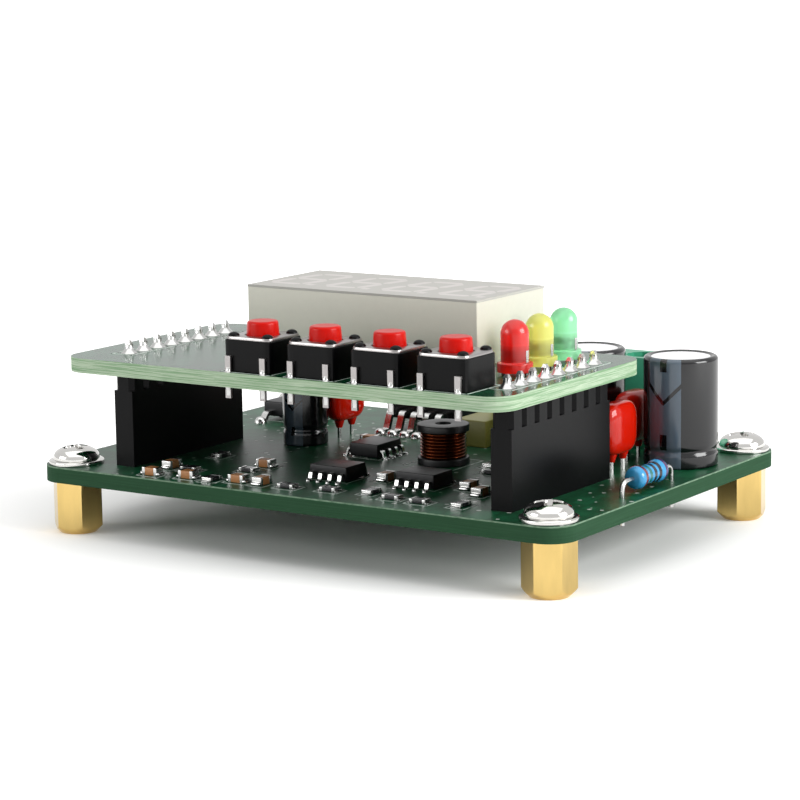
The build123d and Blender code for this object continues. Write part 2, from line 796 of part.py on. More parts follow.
def bent_lead(width, thickness, reach, rise, foot):
    """A lead that leaves a body face at the origin towards +Y and slopes down to a flat foot."""
    with BuildPart() as lead:
        with BuildSketch(Plane.YZ):
            Polygon(
                (0, rise), (reach - foot, 0), (reach, 0), (reach, thickness),
                (reach - foot + thickness / 2, thickness), (0, rise + thickness), align=None,
            )
        extrude(amount=width / 2, both=True)
    return lead.part


def tab_plate(width, depth, thickness):
    """A flat metal tab whose front edge is at the origin and runs towards +Y."""
    with BuildPart() as plate:
        with BuildSketch():
            Rectangle(width, depth, align=(Align.CENTER, Align.MIN))
        extrude(amount=thickness)
    return plate.part


def tab_package(name, x, front_y, width, depth, height, edge_cut, tab, tab_width, tab_reach, lead, lead_xs):
    """A power package: moulded body over a metal tab, with its leads towards -Y."""
    with BuildPart() as body:
        with Locations((x, front_y + depth / 2, board_top + tab)):
            Box(width, depth, height - tab, align=(Align.CENTER, Align.CENTER, Align.MIN))
        chamfer(body.faces().sort_by(Axis.Z)[-1].edges(), edge_cut)
    keep(body.part, f"{name}_body")
    with BuildPart() as frame:
        with Locations((x, front_y + depth * (1 - tab_share) + tab_reach, board_top)):
            add(tab_plate(tab_width, depth * tab_share, tab))
        for lead_x in lead_xs:
            with Locations(Location((x + lead_x, front_y, board_top), (0, 0, 180))):
                add(lead)
    keep(frame.part, f"{name}_frame")


regulator_lead = bent_lead(regulator_lead_width, regulator_lead_thickness, regulator_lead_reach,
                           regulator_lead_rise, regulator_foot_length)
tab_package("regulator", regulator_x, regulator_front_y, regulator_width, regulator_depth, regulator_height,
            regulator_edge_cut, regulator_tab_thickness, regulator_tab_width, regulator_tab_reach,
            regulator_lead,
            [(i - (regulator_lead_count - 1) / 2) * regulator_lead_pitch for i in range(regulator_lead_count)])
transistor_lead = bent_lead(transistor_lead_width, transistor_lead_thickness, transistor_lead_reach,
                            transistor_lead_rise, transistor_foot_length)
tab_package("transistor", transistor_x, transistor_front_y, transistor_width, transistor_depth,
            transistor_height, transistor_edge_cut, transistor_tab_thickness, transistor_tab_width,
            transistor_tab_reach, transistor_lead, [-transistor_lead_pitch / 2, transistor_lead_pitch / 2])


# Chips: three of eight leads on the power board, and the controller under the display board
chip_body = moulded_body(chip_length, chip_width, chip_height, chip_stand_off, chip_side_draft)
chip_lead = bent_lead(chip_lead_width, chip_lead_thickness, chip_lead_reach,
                      chip_stand_off + (chip_height - chip_lead_thickness) / 2, chip_foot_length)
controller_body = moulded_body(controller_length, chip_width, chip_height, chip_stand_off, chip_side_draft)
controller_seat = Location((controller_x, controller_y, strip_top), (180, 0, 0))


def lead_rows(lead, width, count, pitch):
    """Both rows of a chip's leads, standing out along Y."""
    xs = [(i - (count - 1) / 2) * pitch for i in range(count)]
    with BuildPart() as rows:
        for turn, side in ((0, 1), (180, -1)):
            with Locations(*[Location((x, side * width / 2, 0), (0, 0, turn)) for x in xs]):
                add(lead)
    return rows.part


chip_rows = lead_rows(chip_lead, chip_width, chip_leads_per_side, chip_lead_pitch)
controller_rows = lead_rows(chip_lead, chip_width, controller_leads_per_side, chip_lead_pitch)
chip_seats = [Location((x, y, board_top), (0, 0, turn)) for x, y, turn in chips]
with BuildPart() as chip_bodies:
    with Locations(*chip_seats):
        add(chip_body)
    with Locations(controller_seat):
        add(controller_body)
keep(chip_bodies.part, "chip_bodies")

with BuildPart() as chip_leads:
    with Locations(*chip_seats):
        add(chip_rows)
    with Locations(controller_seat):
        add(controller_rows)
keep(chip_leads.part, "chip_leads")


def chip_blocks(spots, height):
    """All chip parts of one kind, each a block whose two ends are plated."""
    with BuildPart() as blocks:
        for x, y, turn in spots:
            with Locations(Location((x, y, board_top), (0, 0, turn))):
                Box(chip_part_length, chip_part_width, height, align=(Align.CENTER, Align.CENTER, Align.MIN))
    return blocks.part


# Chip capacitors and chip resistors
keep(chip_blocks(chip_capacitors, chip_capacitor_height), "chip_capacitors")
keep(chip_blocks(chip_resistors, chip_resistor_height), "chip_resistors")

# Tantalum capacitor: a moulded block
place(moulded_body(tantalum_width, tantalum_length, tantalum_height, 0, chip_side_draft),
      "tantalum_capacitor", (tantalum_x, tantalum_y, board_top))


# Terminal block: one housing, open at the back for the wires and on top for the screws
terminal_length = terminal_ways * terminal_pitch
terminal_back_y = terminal_front_y + terminal_depth
terminal_top = board_top + terminal_height
with BuildPart() as terminal_housing:
    with BuildSketch(Plane.YZ.offset(terminal_x)):
        Polygon(
            (terminal_front_y, board_top), (terminal_back_y, board_top),
            (terminal_back_y, terminal_top - terminal_slope_height),
            (terminal_back_y - terminal_slope_depth, terminal_top),
            (terminal_front_y + terminal_slope_depth, terminal_top),
            (terminal_front_y, terminal_top - terminal_slope_height), align=None,
        )
    extrude(amount=terminal_length / 2, both=True)
    entry_z = board_top + terminal_entry_floor
    with Locations(*[(x, terminal_back_y, entry_z) for x in terminal_xs]):
        Box(terminal_entry_width, terminal_entry_depth, terminal_entry_height,
            align=(Align.CENTER, Align.MAX, Align.MIN), mode=Mode.SUBTRACT)
    with BuildSketch(Plane.XY.offset(entry_z + terminal_entry_height / 2)):
        with Locations(*[(x, terminal_well_y) for x in terminal_xs]):
            RegularPolygon(terminal_well_diameter / 2, round_sides)
    extrude(amount=terminal_height, mode=Mode.SUBTRACT)
    with Locations(*[(x, terminal_well_y, board_top) for x in terminal_xs]):
        Box(terminal_pin_width + lead_fit, terminal_pin_width + lead_fit, terminal_entry_floor,
            align=(Align.CENTER, Align.CENTER, Align.MIN), mode=Mode.SUBTRACT)
keep(terminal_housing.part, "terminal_housing")

# each clamp is a square cage on a pin that goes down through the board
cage_width = terminal_entry_width - 2 * cage_fit
cage_height = terminal_entry_height - 2 * cage_fit
with BuildPart() as one_cage:
    with Locations((0, 0, terminal_entry_floor + cage_fit)):
        Box(cage_width, cage_depth, cage_height, align=(Align.CENTER, Align.CENTER, Align.MIN))
    with Locations((0, 0, terminal_entry_floor + cage_fit + cage_wall)):
        Box(cage_width - 2 * cage_wall, cage_depth, cage_height - 2 * cage_wall,
            align=(Align.CENTER, Align.CENTER, Align.MIN), mode=Mode.SUBTRACT)
    with BuildSketch(Plane.XY.offset(terminal_entry_floor + terminal_entry_height)):
        RegularPolygon(terminal_screw_diameter / 2, wire_sides)
    extrude(amount=-terminal_entry_height / 2, mode=Mode.SUBTRACT)
    with Locations((0, 0, terminal_entry_floor + cage_fit)):
        Box(terminal_pin_width, terminal_pin_width, board_top + terminal_entry_floor - tail_bottom,
            align=(Align.CENTER, Align.CENTER, Align.MAX))
place(one_cage.part, "terminal_cages", *[(x, terminal_well_y, board_top) for x in terminal_xs])

with BuildPart() as one_clamp_screw:
    cage_top = terminal_entry_floor + terminal_entry_height - cage_fit
    with BuildSketch(Plane.XY.offset(cage_top - cage_wall)):
        RegularPolygon(terminal_screw_diameter / 2 - cage_fit, wire_sides)
    extrude(amount=cage_wall + cage_fit)
    with BuildSketch(Plane.XY.offset(cage_top + cage_fit)):
        RegularPolygon(terminal_screw_head_diameter / 2, round_sides)
    extrude(amount=terminal_screw_head_height)
    with BuildSketch(Plane.XY.offset(cage_top + cage_fit + terminal_screw_head_height)):
        Rectangle(terminal_screw_head_diameter, terminal_screw_slot)
    extrude(amount=-terminal_screw_slot_depth, mode=Mode.SUBTRACT)
place(one_clamp_screw.part, "terminal_screws", *[(x, terminal_well_y, board_top) for x in terminal_xs])
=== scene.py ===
# %% [markdown]
# # A buck converter module, dressed for its picture
# The construction file already holds every piece at its true place and size.
# This lesson loads those pieces as a fixed frame. It then gives each one a finish, and builds a finer
# surface over the pieces whose round edges, solder or wire turns are too small for the construction file.
# All places are read from the frame, so a change of size there moves everything here.

# %% Load the frame and remember its box
import json

import bmesh
import bpy
import numpy as np
from mathutils import Matrix, Vector


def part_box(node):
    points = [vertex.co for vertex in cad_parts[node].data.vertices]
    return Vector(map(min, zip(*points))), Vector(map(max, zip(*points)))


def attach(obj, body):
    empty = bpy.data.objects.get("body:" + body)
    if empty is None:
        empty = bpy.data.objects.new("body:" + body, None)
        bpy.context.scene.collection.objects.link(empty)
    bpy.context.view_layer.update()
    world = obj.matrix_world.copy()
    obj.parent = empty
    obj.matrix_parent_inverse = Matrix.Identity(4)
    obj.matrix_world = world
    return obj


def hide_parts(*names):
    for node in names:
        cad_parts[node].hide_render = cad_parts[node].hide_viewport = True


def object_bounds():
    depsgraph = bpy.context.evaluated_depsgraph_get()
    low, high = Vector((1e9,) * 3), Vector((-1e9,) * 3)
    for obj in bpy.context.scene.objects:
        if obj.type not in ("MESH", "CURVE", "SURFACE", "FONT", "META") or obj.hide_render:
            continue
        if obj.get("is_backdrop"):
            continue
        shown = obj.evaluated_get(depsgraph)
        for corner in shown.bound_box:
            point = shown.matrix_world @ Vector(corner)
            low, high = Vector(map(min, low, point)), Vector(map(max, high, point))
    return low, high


MM = 0.001
BASE_BODY = "module"

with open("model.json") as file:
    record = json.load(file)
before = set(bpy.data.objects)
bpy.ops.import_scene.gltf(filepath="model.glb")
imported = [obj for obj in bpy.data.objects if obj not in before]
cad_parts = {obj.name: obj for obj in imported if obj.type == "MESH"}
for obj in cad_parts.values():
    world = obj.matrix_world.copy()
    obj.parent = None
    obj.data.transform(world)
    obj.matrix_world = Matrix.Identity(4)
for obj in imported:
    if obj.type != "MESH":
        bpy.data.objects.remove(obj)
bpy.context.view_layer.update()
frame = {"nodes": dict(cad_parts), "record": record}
print("frame loaded:", len(frame["nodes"]), "nodes")

# %% [markdown]
# ## Reading places from the frame
# One node may hold many separate solids, such as four screws. To dress each screw, its own box is needed.
# The triangles of the node are loose, so corners at the same place are counted as one point first.
# Each triangle then hands its lowest number to its corners, again and again, until a whole solid
# shares one number.

# %% Find the separate solids of a node
def solids(node):
    """The (lowest, highest) corner of each separate solid in a node, in mm, ordered by X and then Y."""
    mesh = frame["nodes"][node].data
    places = np.empty(len(mesh.vertices) * 3)
    mesh.vertices.foreach_get("co", places)
    points, index = np.unique((places.reshape(-1, 3) / MM).round(3), axis=0, return_inverse=True)
    corners = np.empty(len(mesh.loops), int)
    mesh.loops.foreach_get("vertex_index", corners)
    triangles = index.ravel()[corners].reshape(-1, 3)
    label = np.arange(len(points))
    while True:
        lower = label.copy()
        np.minimum.at(lower, triangles, label[triangles].min(axis=1)[:, None])
        lower = lower[lower]
        if (lower == label).all():
            break
        label = lower
    boxes = [(points[label == one].min(axis=0), points[label == one].max(axis=0)) for one in np.unique(label)]
    return sorted(boxes, key=lambda box: (round(box[0][0], 2), round(box[0][1], 2)))


def box_mm(node):
    """The lowest and the highest corner of a whole node, in mm."""
    low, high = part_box(node)
    return np.array(low) / MM, np.array(high) / MM


board_low, board_high = box_mm("power_board")
upper_low, upper_high = box_mm("display_board")
BOARD_TOP = board_high[2]
UPPER_TOP = upper_high[2]
UNDERSIDE_DEPTH = 3.0
print("board tops in mm:", round(BOARD_TOP, 2), round(UPPER_TOP, 2))


def hangs(high):
    """Whether a solid sits on the underside of the display board, judged by its highest corner."""
    return high[2] > upper_low[2] - UNDERSIDE_DEPTH


# %% [markdown]
# ## Surfaces from rings
# Nearly every piece here is a stack of closed rings of points: a screw head is rings of shrinking
# radius, a moulded block is rings of rounded rectangles. One function joins each ring to the next with
# four cornered faces, and closes both ends, so a shape only has to say where its rings are.

# %% Join rings into a skin
def skin(rings, loop=False):
    """Points and faces over rings of shape (rings, points, 3).

    Point j of ring i joins point j + 1 on its ring and point j on the next ring. With loop the last
    ring joins the first, as on a washer. Otherwise the two end rings are each closed by one face."""
    count, around = rings.shape[:2]
    low = np.arange(count if loop else count - 1)[:, None] * around
    high = (low + around) % (count * around)
    here = np.arange(around)[None, :]
    after = (here + 1) % around
    faces = np.stack([low + here, low + after, high + after, high + here], axis=-1).reshape(-1, 4).tolist()
    if not loop:
        faces.append(list(range(around))[::-1])
        faces.append(list(range((count - 1) * around, count * around)))
    return rings.reshape(-1, 3), faces


def piece(name, skins, slot, body=BASE_BODY, instead_of=(), sharp=35.0, finish=None):
    """One mesh object from several skins, given in mm, with its normals outwards and its edges kept crisp."""
    points, faces, start = [], [], 0
    for some_points, some_faces in skins:
        points.append(some_points)
        faces.extend([[corner + start for corner in face] for face in some_faces])
        start += len(some_points)
    mesh = bpy.data.meshes.new(name)
    mesh.from_pydata((np.concatenate(points) * MM).tolist(), [], faces)
    work = bmesh.new()
    work.from_mesh(mesh)
    bmesh.ops.recalc_face_normals(work, faces=work.faces)
    work.to_mesh(mesh)
    work.free()
    mesh.shade_smooth()
    mesh.set_sharp_from_angle(angle=np.radians(sharp))
    obj = bpy.data.objects.new(name, mesh)
    bpy.context.scene.collection.objects.link(obj)
    mesh.materials.append(finish or MATERIALS[slot])
    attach(obj, body)
    if instead_of:
        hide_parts(*instead_of)
    print(f"{name}: {len(mesh.polygons)} faces")
    return obj


# %% Softened profiles
def soften(profile, reach, steps=4):
    """Rounds the inner corners of a profile of rows (radius, height).

    Each corner is replaced by a curve that leaves the line before it at the distance reach, bends
    towards the corner, and joins the line after it: (1 - t)^2 start + 2 t (1 - t) corner + t^2 end."""
    profile = np.asarray(profile, float)
    rows = [profile[0]]
    t = np.linspace(0, 1, steps)[:, None]
    for before, corner, after in zip(profile, profile[1:], profile[2:]):
        into, out = before - corner, after - corner
        start = corner + into * min(0.5, reach / np.linalg.norm(into))
        end = corner + out * min(0.5, reach / np.linalg.norm(out))
        rows.extend((1 - t) ** 2 * start + 2 * t * (1 - t) * corner + t ** 2 * end)
    rows.append(profile[-1])
    return np.array(rows)


# %% Turned rings
SMALL_POINTS = 20
MEDIUM_POINTS = 48
LARGE_POINTS = 64


def full_turn(points):
    """Even angles once round. The last one is left out, because it would repeat the first."""
    return np.linspace(0, 2 * np.pi, points, endpoint=False)


def rings_about(centre, angle, rows):
    """Rings about the vertical through centre: x = radius cos(angle), y = radius sin(angle), z = height.

    Each row is (radius, height). Either is one number for its ring, or a value for every angle."""
    cos, sin = np.cos(angle), np.sin(angle)
    rings = [
        np.broadcast_arrays(centre[0] + radius * cos, centre[1] + radius * sin, centre[2] + height)
        for radius, height in rows
    ]
    return np.moveaxis(np.array(rings), 1, -1)


def turned(profile, centre, around):
    """Rings of a turned form: every row (radius, height) of the profile goes once round."""
    return rings_about(centre, full_turn(around), profile)


def round_box(low, high):
    """Of a round solid's box: the middle of its foot, its radius and its height."""
    foot = np.array([(low[0] + high[0]) / 2, (low[1] + high[1]) / 2, low[2]])
    return foot, (high[0] - low[0]) / 2, high[2] - low[2]


# %% Moulded blocks
CORNER_POINTS = 6


def rounded_rectangle(half_x, half_y, radius, inset):
    """Points round a rectangle with round corners: each corner is a quarter circle about its own centre."""
    radius = min(radius, half_x, half_y)
    quarter = np.linspace(0, np.pi / 2, CORNER_POINTS)
    rows = []
    for k, (sx, sy) in enumerate(((1, 1), (-1, 1), (-1, -1), (1, -1))):
        a = quarter + k * np.pi / 2
        r = max(radius - inset, 0.001)
        x = sx * (half_x - radius) + r * np.cos(a)
        y = sy * (half_y - radius) + r * np.sin(a)
        rows.append(np.stack([x, y], -1))
    return np.concatenate(rows)


def block(low, high, corner, edge, draft=0.0):
    """Rings of a moulded block: rounded rectangles whose inset follows a quarter circle at the lower and
    the upper edge. Draft is how far each side leans in from the middle height to either end."""
    low, high = np.asarray(low, float), np.asarray(high, float)
    centre, half = (low + high) / 2, (high - low) / 2
    t = np.linspace(0, np.pi / 2, 4)
    inset = edge * (1 - np.sin(t))
    height = edge * (1 - np.cos(t))
    insets = np.concatenate([inset + draft, [0.0], (inset + draft)[::-1]])
    heights = np.concatenate([low[2] + height, [centre[2]], (high[2] - height)[::-1]])
    rings = []
    for inward, z in zip(insets, heights):
        outline = rounded_rectangle(half[0], half[1], max(corner, edge + draft + 0.01), inward)
        rings.append(np.column_stack([outline + centre[:2], np.full(len(outline), z)]))
    return np.array(rings)


# %% [markdown]
# ## Finishes
# Each finish is one shader with a little noise in it, because no real surface is perfectly even. The
# noise reads object coordinates, so it stays on the piece in every view. The names are those of the
# record's material list, and each node of the frame takes the finish that the record gives it.

# %% A shader and its sockets
def new_shader(name):
    """A material with one Principled shader: the material, its node tree and the shader."""
    material = bpy.data.materials.new(name)
    material.use_nodes = True
    tree = material.node_tree
    return material, tree, tree.nodes["Principled BSDF"]


def source(tree, kind, output):
    """One output of a new node that needs no input."""
    return tree.nodes.new(kind).outputs[output]


def feed(tree, socket, value):
    """Links a socket to another one, or sets it to a number or a colour."""
    if isinstance(value, bpy.types.NodeSocket):
        tree.links.new(value, socket)
    elif isinstance(value, (int, float)):
        socket.default_value = value
    else:
        socket.default_value = (*value, 1.0)


def dress(tree, node, values):
    """Feeds several inputs of a node, each by its name."""
    for name, value in values.items():
        feed(tree, node.inputs[name], value)


# %% Patterns and maths for finishes
def noise(tree, scale, stretch=(1.0, 1.0, 1.0)):
    """Noise on object coordinates. Scale is in waves per mm, and stretch squeezes it along an axis."""
    mapping = tree.nodes.new("ShaderNodeMapping")
    mapping.inputs["Scale"].default_value = [scale / MM * s for s in stretch]
    texture = tree.nodes.new("ShaderNodeTexNoise")
    texture.inputs["Scale"].default_value = 1.0
    texture.inputs["Detail"].default_value = 3.0
    tree.links.new(source(tree, "ShaderNodeTexCoord", "Object"), mapping.inputs["Vector"])
    tree.links.new(mapping.outputs["Vector"], texture.inputs["Vector"])
    return texture.outputs["Fac"]


def blend(tree, factor, first, second):
    """A colour that goes from first to second as factor goes from 0 to 1. Either may be a socket."""
    mix = tree.nodes.new("ShaderNodeMix")
    mix.data_type = "RGBA"
    for socket, value in ((mix.inputs[0], factor), (mix.inputs[6], first), (mix.inputs[7], second)):
        feed(tree, socket, value)
    return mix.outputs[2]


def maths(tree, operation, first, second=0.0):
    """One maths node. Each operand may be a number or a socket."""
    node = tree.nodes.new("ShaderNodeMath")
    node.operation = operation
    for socket, value in zip(node.inputs, (first, second)):
        feed(tree, socket, value)
    return node.outputs["Value"]


def split(tree, vector):
    """The X, Y and Z of a vector socket, each as its own socket."""
    node = tree.nodes.new("ShaderNodeSeparateXYZ")
    tree.links.new(vector, node.inputs["Vector"])
    return node.outputs


def place_parts(tree):
    """The X, Y and Z of object coordinates, in metres."""
    return split(tree, source(tree, "ShaderNodeTexCoord", "Object"))


def share_between(tree, value, start, end, first=0.0, last=1.0):
    """Goes from first to last as value goes from start to end, and stays there past either end."""
    node = tree.nodes.new("ShaderNodeMapRange")
    ends = {"From Min": start, "From Max": end, "To Min": first, "To Max": last, "Value": value}
    dress(tree, node, ends)
    return node.outputs["Result"]


def cells(tree, scale, distance):
    """Distance from the middle of the nearest of many scattered cells. Scale is in cells per mm."""
    node = tree.nodes.new("ShaderNodeTexVoronoi")
    node.distance = distance
    dress(tree, node, {"Scale": scale / MM, "Vector": source(tree, "ShaderNodeTexCoord", "Object")})
    return node.outputs["Distance"]


def steps(tree, value, *stops):
    """A ramp with hard steps: each stop is (position, brightness) or (position, colour)."""
    return stops_along(tree, value, stops, "CONSTANT")


def stops_along(tree, value, stops, between="LINEAR"):
    """A ramp over stops, with even changes between them or, where between says CONSTANT, with none."""
    ramp = tree.nodes.new("ShaderNodeValToRGB")
    ramp.color_ramp.interpolation = between
    while len(ramp.color_ramp.elements) < len(stops):
        ramp.color_ramp.elements.new(0.5)
    for element, (position, level) in zip(ramp.color_ramp.elements, stops):
        element.position = position
        element.color = (level, level, level, 1.0) if isinstance(level, (int, float)) else (*level, 1.0)
    tree.links.new(value, ramp.inputs["Fac"])
    return ramp.outputs["Color"]


def roughen(tree, shader, value, strength, depth):
    """Fine relief from a noise value. Depth is in mm."""
    bump = tree.nodes.new("ShaderNodeBump")
    dress(tree, bump, {"Strength": strength, "Distance": depth * MM, "Height": value})
    tree.links.new(bump.outputs["Normal"], shader.inputs["Normal"])


def plain(name, colour, roughness, metallic, shift, scale, relief, stretch=(1, 1, 1), extra=None):
    """A finish of one colour: noise darkens and lightens it by the share shift, and adds a fine relief."""
    material, tree, shader = new_shader(name)
    grain = noise(tree, scale, stretch)
    dark = [c * (1 - shift) for c in colour]
    light = [min(1.0, c * (1 + shift)) for c in colour]
    colours = blend(tree, grain, dark, light)
    dress(tree, shader, {"Base Color": colours, "Roughness": roughness, "Metallic": metallic})
    dress(tree, shader, extra or {})
    roughen(tree, shader, grain, 0.5, relief)
    return material


# %% [markdown]
# ## Circuit board
# A board is woven glass with a green coat on both faces. From the side its cut edge shows: paler, with
# fine lines where the layers of glass run. The direction of the surface tells the two apart, since a
# face points up or down and an edge points sideways. On the faces, copper tracks lie under the coat
# and show as slightly lighter, straight sided islands, made here with cells measured along X and Y.
# Small plated holes show as pale dots on the lower board, which carries the power circuit. The same
# dots are also painted highlights, standing in for glints of light off solder.

# %% Board finish
COAT_GREEN = (0.0015, 0.038, 0.013)
TRACK_GREEN = (0.004, 0.070, 0.027)
LOWER_EDGE = (0.007, 0.034, 0.013)
LOWER_EDGE_PALE = (0.022, 0.075, 0.034)
UPPER_EDGE = (0.19, 0.32, 0.18)
UPPER_EDGE_PALE = (0.42, 0.52, 0.38)
RIM_LINE_PALE = (0.26, 0.38, 0.27)
HOLE_AND_GLINT_PALE = (0.42, 0.46, 0.42)
ABOVE_LOWER_BOARD = 1.0
TRACK_CELLS = 0.45
TRACK_STEPS = ((0.0, 1.0), (0.32, 0.0), (0.42, 1.0), (0.5, 0.0))
HOLE_AND_GLINT_CELLS = 0.55
HOLE_AND_GLINT_STEPS = ((0.0, 1.0), (0.14, 0.0))
LAYER_STRETCH = (0.12, 0.12, 8.0)
LAYER_STEPS = ((0.0, 0.0), (0.42, 0.35), (0.5, 1.0), (0.58, 0.5))
RIM_HEIGHT = 0.16
RIM_LINE_STRETCH = (1, 1, 0.3)
UPPER_COAT_ROUGHNESS = 0.17
LOWER_COAT_ROUGHNESS = 0.37
EDGE_ROUGHNESS = 0.9


def board_finish(name):
    """Coat on the faces and bare glass on the edges, told apart by how far the surface points up.

    The lower board's edge is stained by its coat and the upper one's is nearly white, so a height
    between the boards tells which colour to use. A pale broken line runs along the top of the lower
    board's edge, and the lower board's coat is the duller one."""
    material, tree, shader = new_shader(name)
    height = place_parts(tree)["Z"]
    is_lower = maths(tree, "LESS_THAN", height, (BOARD_TOP + ABOVE_LOWER_BOARD) * MM)
    tracks = steps(tree, cells(tree, TRACK_CELLS, "CHEBYCHEV"), *TRACK_STEPS)
    # pale dots on the lower board: plated holes, and painted highlights for glints of light off solder
    dots = steps(tree, cells(tree, HOLE_AND_GLINT_CELLS, "EUCLIDEAN"), *HOLE_AND_GLINT_STEPS)
    coat = blend(tree, tracks, COAT_GREEN, TRACK_GREEN)
    coat = blend(tree, maths(tree, "MULTIPLY", dots, is_lower), coat, HOLE_AND_GLINT_PALE)
    layers = noise(tree, 1.0, LAYER_STRETCH)
    lower = blend(tree, layers, LOWER_EDGE, LOWER_EDGE_PALE)
    upper = blend(tree, steps(tree, layers, *LAYER_STEPS), UPPER_EDGE, UPPER_EDGE_PALE)
    edge = blend(tree, is_lower, upper, lower)
    rim = maths(tree, "GREATER_THAN", height, (BOARD_TOP - RIM_HEIGHT) * MM)
    # a pale broken line, made with noise, along the top of the lower board's edge
    pale_rim_line = maths(tree, "MULTIPLY", maths(tree, "MULTIPLY", rim, is_lower), noise(tree, 1.3, RIM_LINE_STRETCH))
    edge = blend(tree, pale_rim_line, edge, RIM_LINE_PALE)
    upward = split(tree, source(tree, "ShaderNodeNewGeometry", "Normal"))["Z"]
    is_face = steps(tree, maths(tree, "ABSOLUTE", upward), (0.0, 0.0), (0.5, 1.0))
    face_roughness = share_between(tree, is_lower, 0.0, 1.0, UPPER_COAT_ROUGHNESS, LOWER_COAT_ROUGHNESS)
    roughness = share_between(tree, is_face, 0.0, 1.0, EDGE_ROUGHNESS, face_roughness)
    colour = blend(tree, is_face, edge, coat)
    dress(tree, shader, {"Base Color": colour, "Roughness": roughness, "Specular IOR Level": 0.25})
    roughen(tree, shader, tracks, 0.4, 0.01)
    return material


# %% [markdown]
# ## Plastics, metals, resins
# The plain finishes differ only in colour, gloss and grain. Brass bar is drawn through a die, so its
# grain is stretched along its length. The lamps are cast in tinted, slightly cloudy resin: light
# enters and is scattered, so their shader lets about half of it through and spreads the rest.

# %% Plain finishes
# each row is (colour, roughness, metallic, shift, waves per mm, relief in mm)
PLAIN_FINISHES = {
    "brass": ((0.62, 0.44, 0.16), 0.12, 1.0, 0.18, 0.6, 0.008),
    "chrome": ((0.58, 0.57, 0.55), 0.1, 1.0, 0.03, 0.8, 0.001),
    "black_plastic": ((0.0015, 0.0015, 0.0018), 0.32, 0.0, 0.3, 3.0, 0.006),
    "tin": ((0.50, 0.50, 0.49), 0.24, 1.0, 0.15, 1.5, 0.012),
    "gold": ((0.85, 0.66, 0.30), 0.25, 1.0, 0.08, 1.5, 0.004),
    "red_plastic": ((0.52, 0.004, 0.001), 0.28, 0.0, 0.05, 2.0, 0.002),
    "cover_steel": ((0.30, 0.285, 0.28), 0.3, 1.0, 0.05, 1.0, 0.003),
    "display_white": ((0.58, 0.57, 0.49), 0.5, 0.0, 0.03, 1.5, 0.003),
    "display_grey": ((0.44, 0.43, 0.40), 0.45, 0.0, 0.03, 1.5, 0.001),
    "segment_white": ((0.56, 0.53, 0.51), 0.45, 0.0, 0.03, 1.5, 0.001),
    "aluminium": ((0.93, 0.93, 0.94), 0.5, 0.2, 0.04, 1.0, 0.003),
    "film_red": ((0.50, 0.008, 0.001), 0.13, 0.0, 0.05, 0.5, 0.006),
    "ferrite": ((0.006, 0.006, 0.007), 0.4, 0.0, 0.25, 3.0, 0.01),
    # copper is far darker than enamelled copper's own colour: painted shade for the unlit winding between the
    # drum's flanges
    "copper": ((0.13, 0.028, 0.007), 0.25, 0.9, 0.5, 1.0, 0.004),
    "chip_black": ((0.004, 0.004, 0.005), 0.38, 0.0, 0.25, 6.0, 0.006),
    "ceramic_brown": ((0.42, 0.18, 0.06), 0.45, 0.0, 0.1, 3.0, 0.004),
    "resistor_black": ((0.012, 0.012, 0.014), 0.25, 0.0, 0.1, 3.0, 0.002),
    "tantalum_yellow": ((0.26, 0.24, 0.05), 0.4, 0.0, 0.1, 3.0, 0.004),
    "terminal_green": ((0.04, 0.30, 0.17), 0.35, 0.0, 0.08, 2.0, 0.004),
}
GRAIN_STRETCH = {"brass": (1, 1, 0.25), "cover_steel": (0.1, 2, 1)}
EXTRA_VALUES = {
    "black_plastic": {"Specular IOR Level": 0.1},
    "red_plastic": {"Specular IOR Level": 0.15},
    "display_grey": {"Specular IOR Level": 0.25},
    "segment_white": {"Specular IOR Level": 0.25},
    "film_red": {"Specular IOR Level": 0.3, "Coat Weight": 0.1},
    "chip_black": {"Specular IOR Level": 0.25},
}
MATERIALS = {
    name: plain(name, *row, GRAIN_STRETCH.get(name, (1, 1, 1)), EXTRA_VALUES.get(name))
    for name, row in PLAIN_FINISHES.items()
}
MATERIALS["pcb"] = board_finish("pcb")

# %% Lamp resin
LENS_BANDS = ((0.0, 1.0), (0.16, 1.0), (0.24, 0.6), (0.4, 0.75), (0.5, 0.9), (0.53, 1.2), (0.57, 1.0))
RESIN_VALUES = {"Roughness": 0.35, "Transmission Weight": 0.55, "Specular IOR Level": 0.2,
                "Coat Weight": 0.35, "Coat Roughness": 0.03}
LENS_TINTS = {"red": (0.95, 0.010, 0.005), "yellow": (0.93, 0.93, 0.20), "green": (0.36, 0.95, 0.52)}


def resin(name, colour, node):
    """Tinted cloudy resin under a smooth skin.

    Light meets the tint when it enters and again when it leaves, so the colour here is paler. The metal
    cup inside darkens a band above the flange: the tint is multiplied by a share for each height."""
    material, tree, shader = new_shader(name)
    low, high = box_mm(node)
    up = share_between(tree, place_parts(tree)["Z"], low[2] * MM, high[2] * MM)
    stops = [(height, [min(1.0, c * share) for c in colour]) for height, share in LENS_BANDS]
    dress(tree, shader, {"Base Color": stops_along(tree, up, stops), **RESIN_VALUES})
    return material


for colour, tint in LENS_TINTS.items():
    MATERIALS[f"{colour}_lens"] = resin(f"{colour}_lens", tint, f"{colour}_led_lens")

# %% [markdown]
# ## The two patterned finishes
# The resistor's colour bands run round its body, so they depend only on the distance along Y. The
# capacitor's film has a pale stripe down one side with dark marks in it. Its own UV map says where:
# U goes once round, starting opposite the stripe, and V goes up.

# %% Resistor bands
BONE_LOW, BONE_HIGH = box_mm("resistor_body")
BAND_MAROON = (0.13, 0.012, 0.02)
BAND_TEAL = (0.01, 0.13, 0.12)
BAND_BLACK = (0.012, 0.012, 0.02)
BAND_DARK = (0.06, 0.02, 0.09)
LACQUER_BLUE = (0.035, 0.27, 0.52)


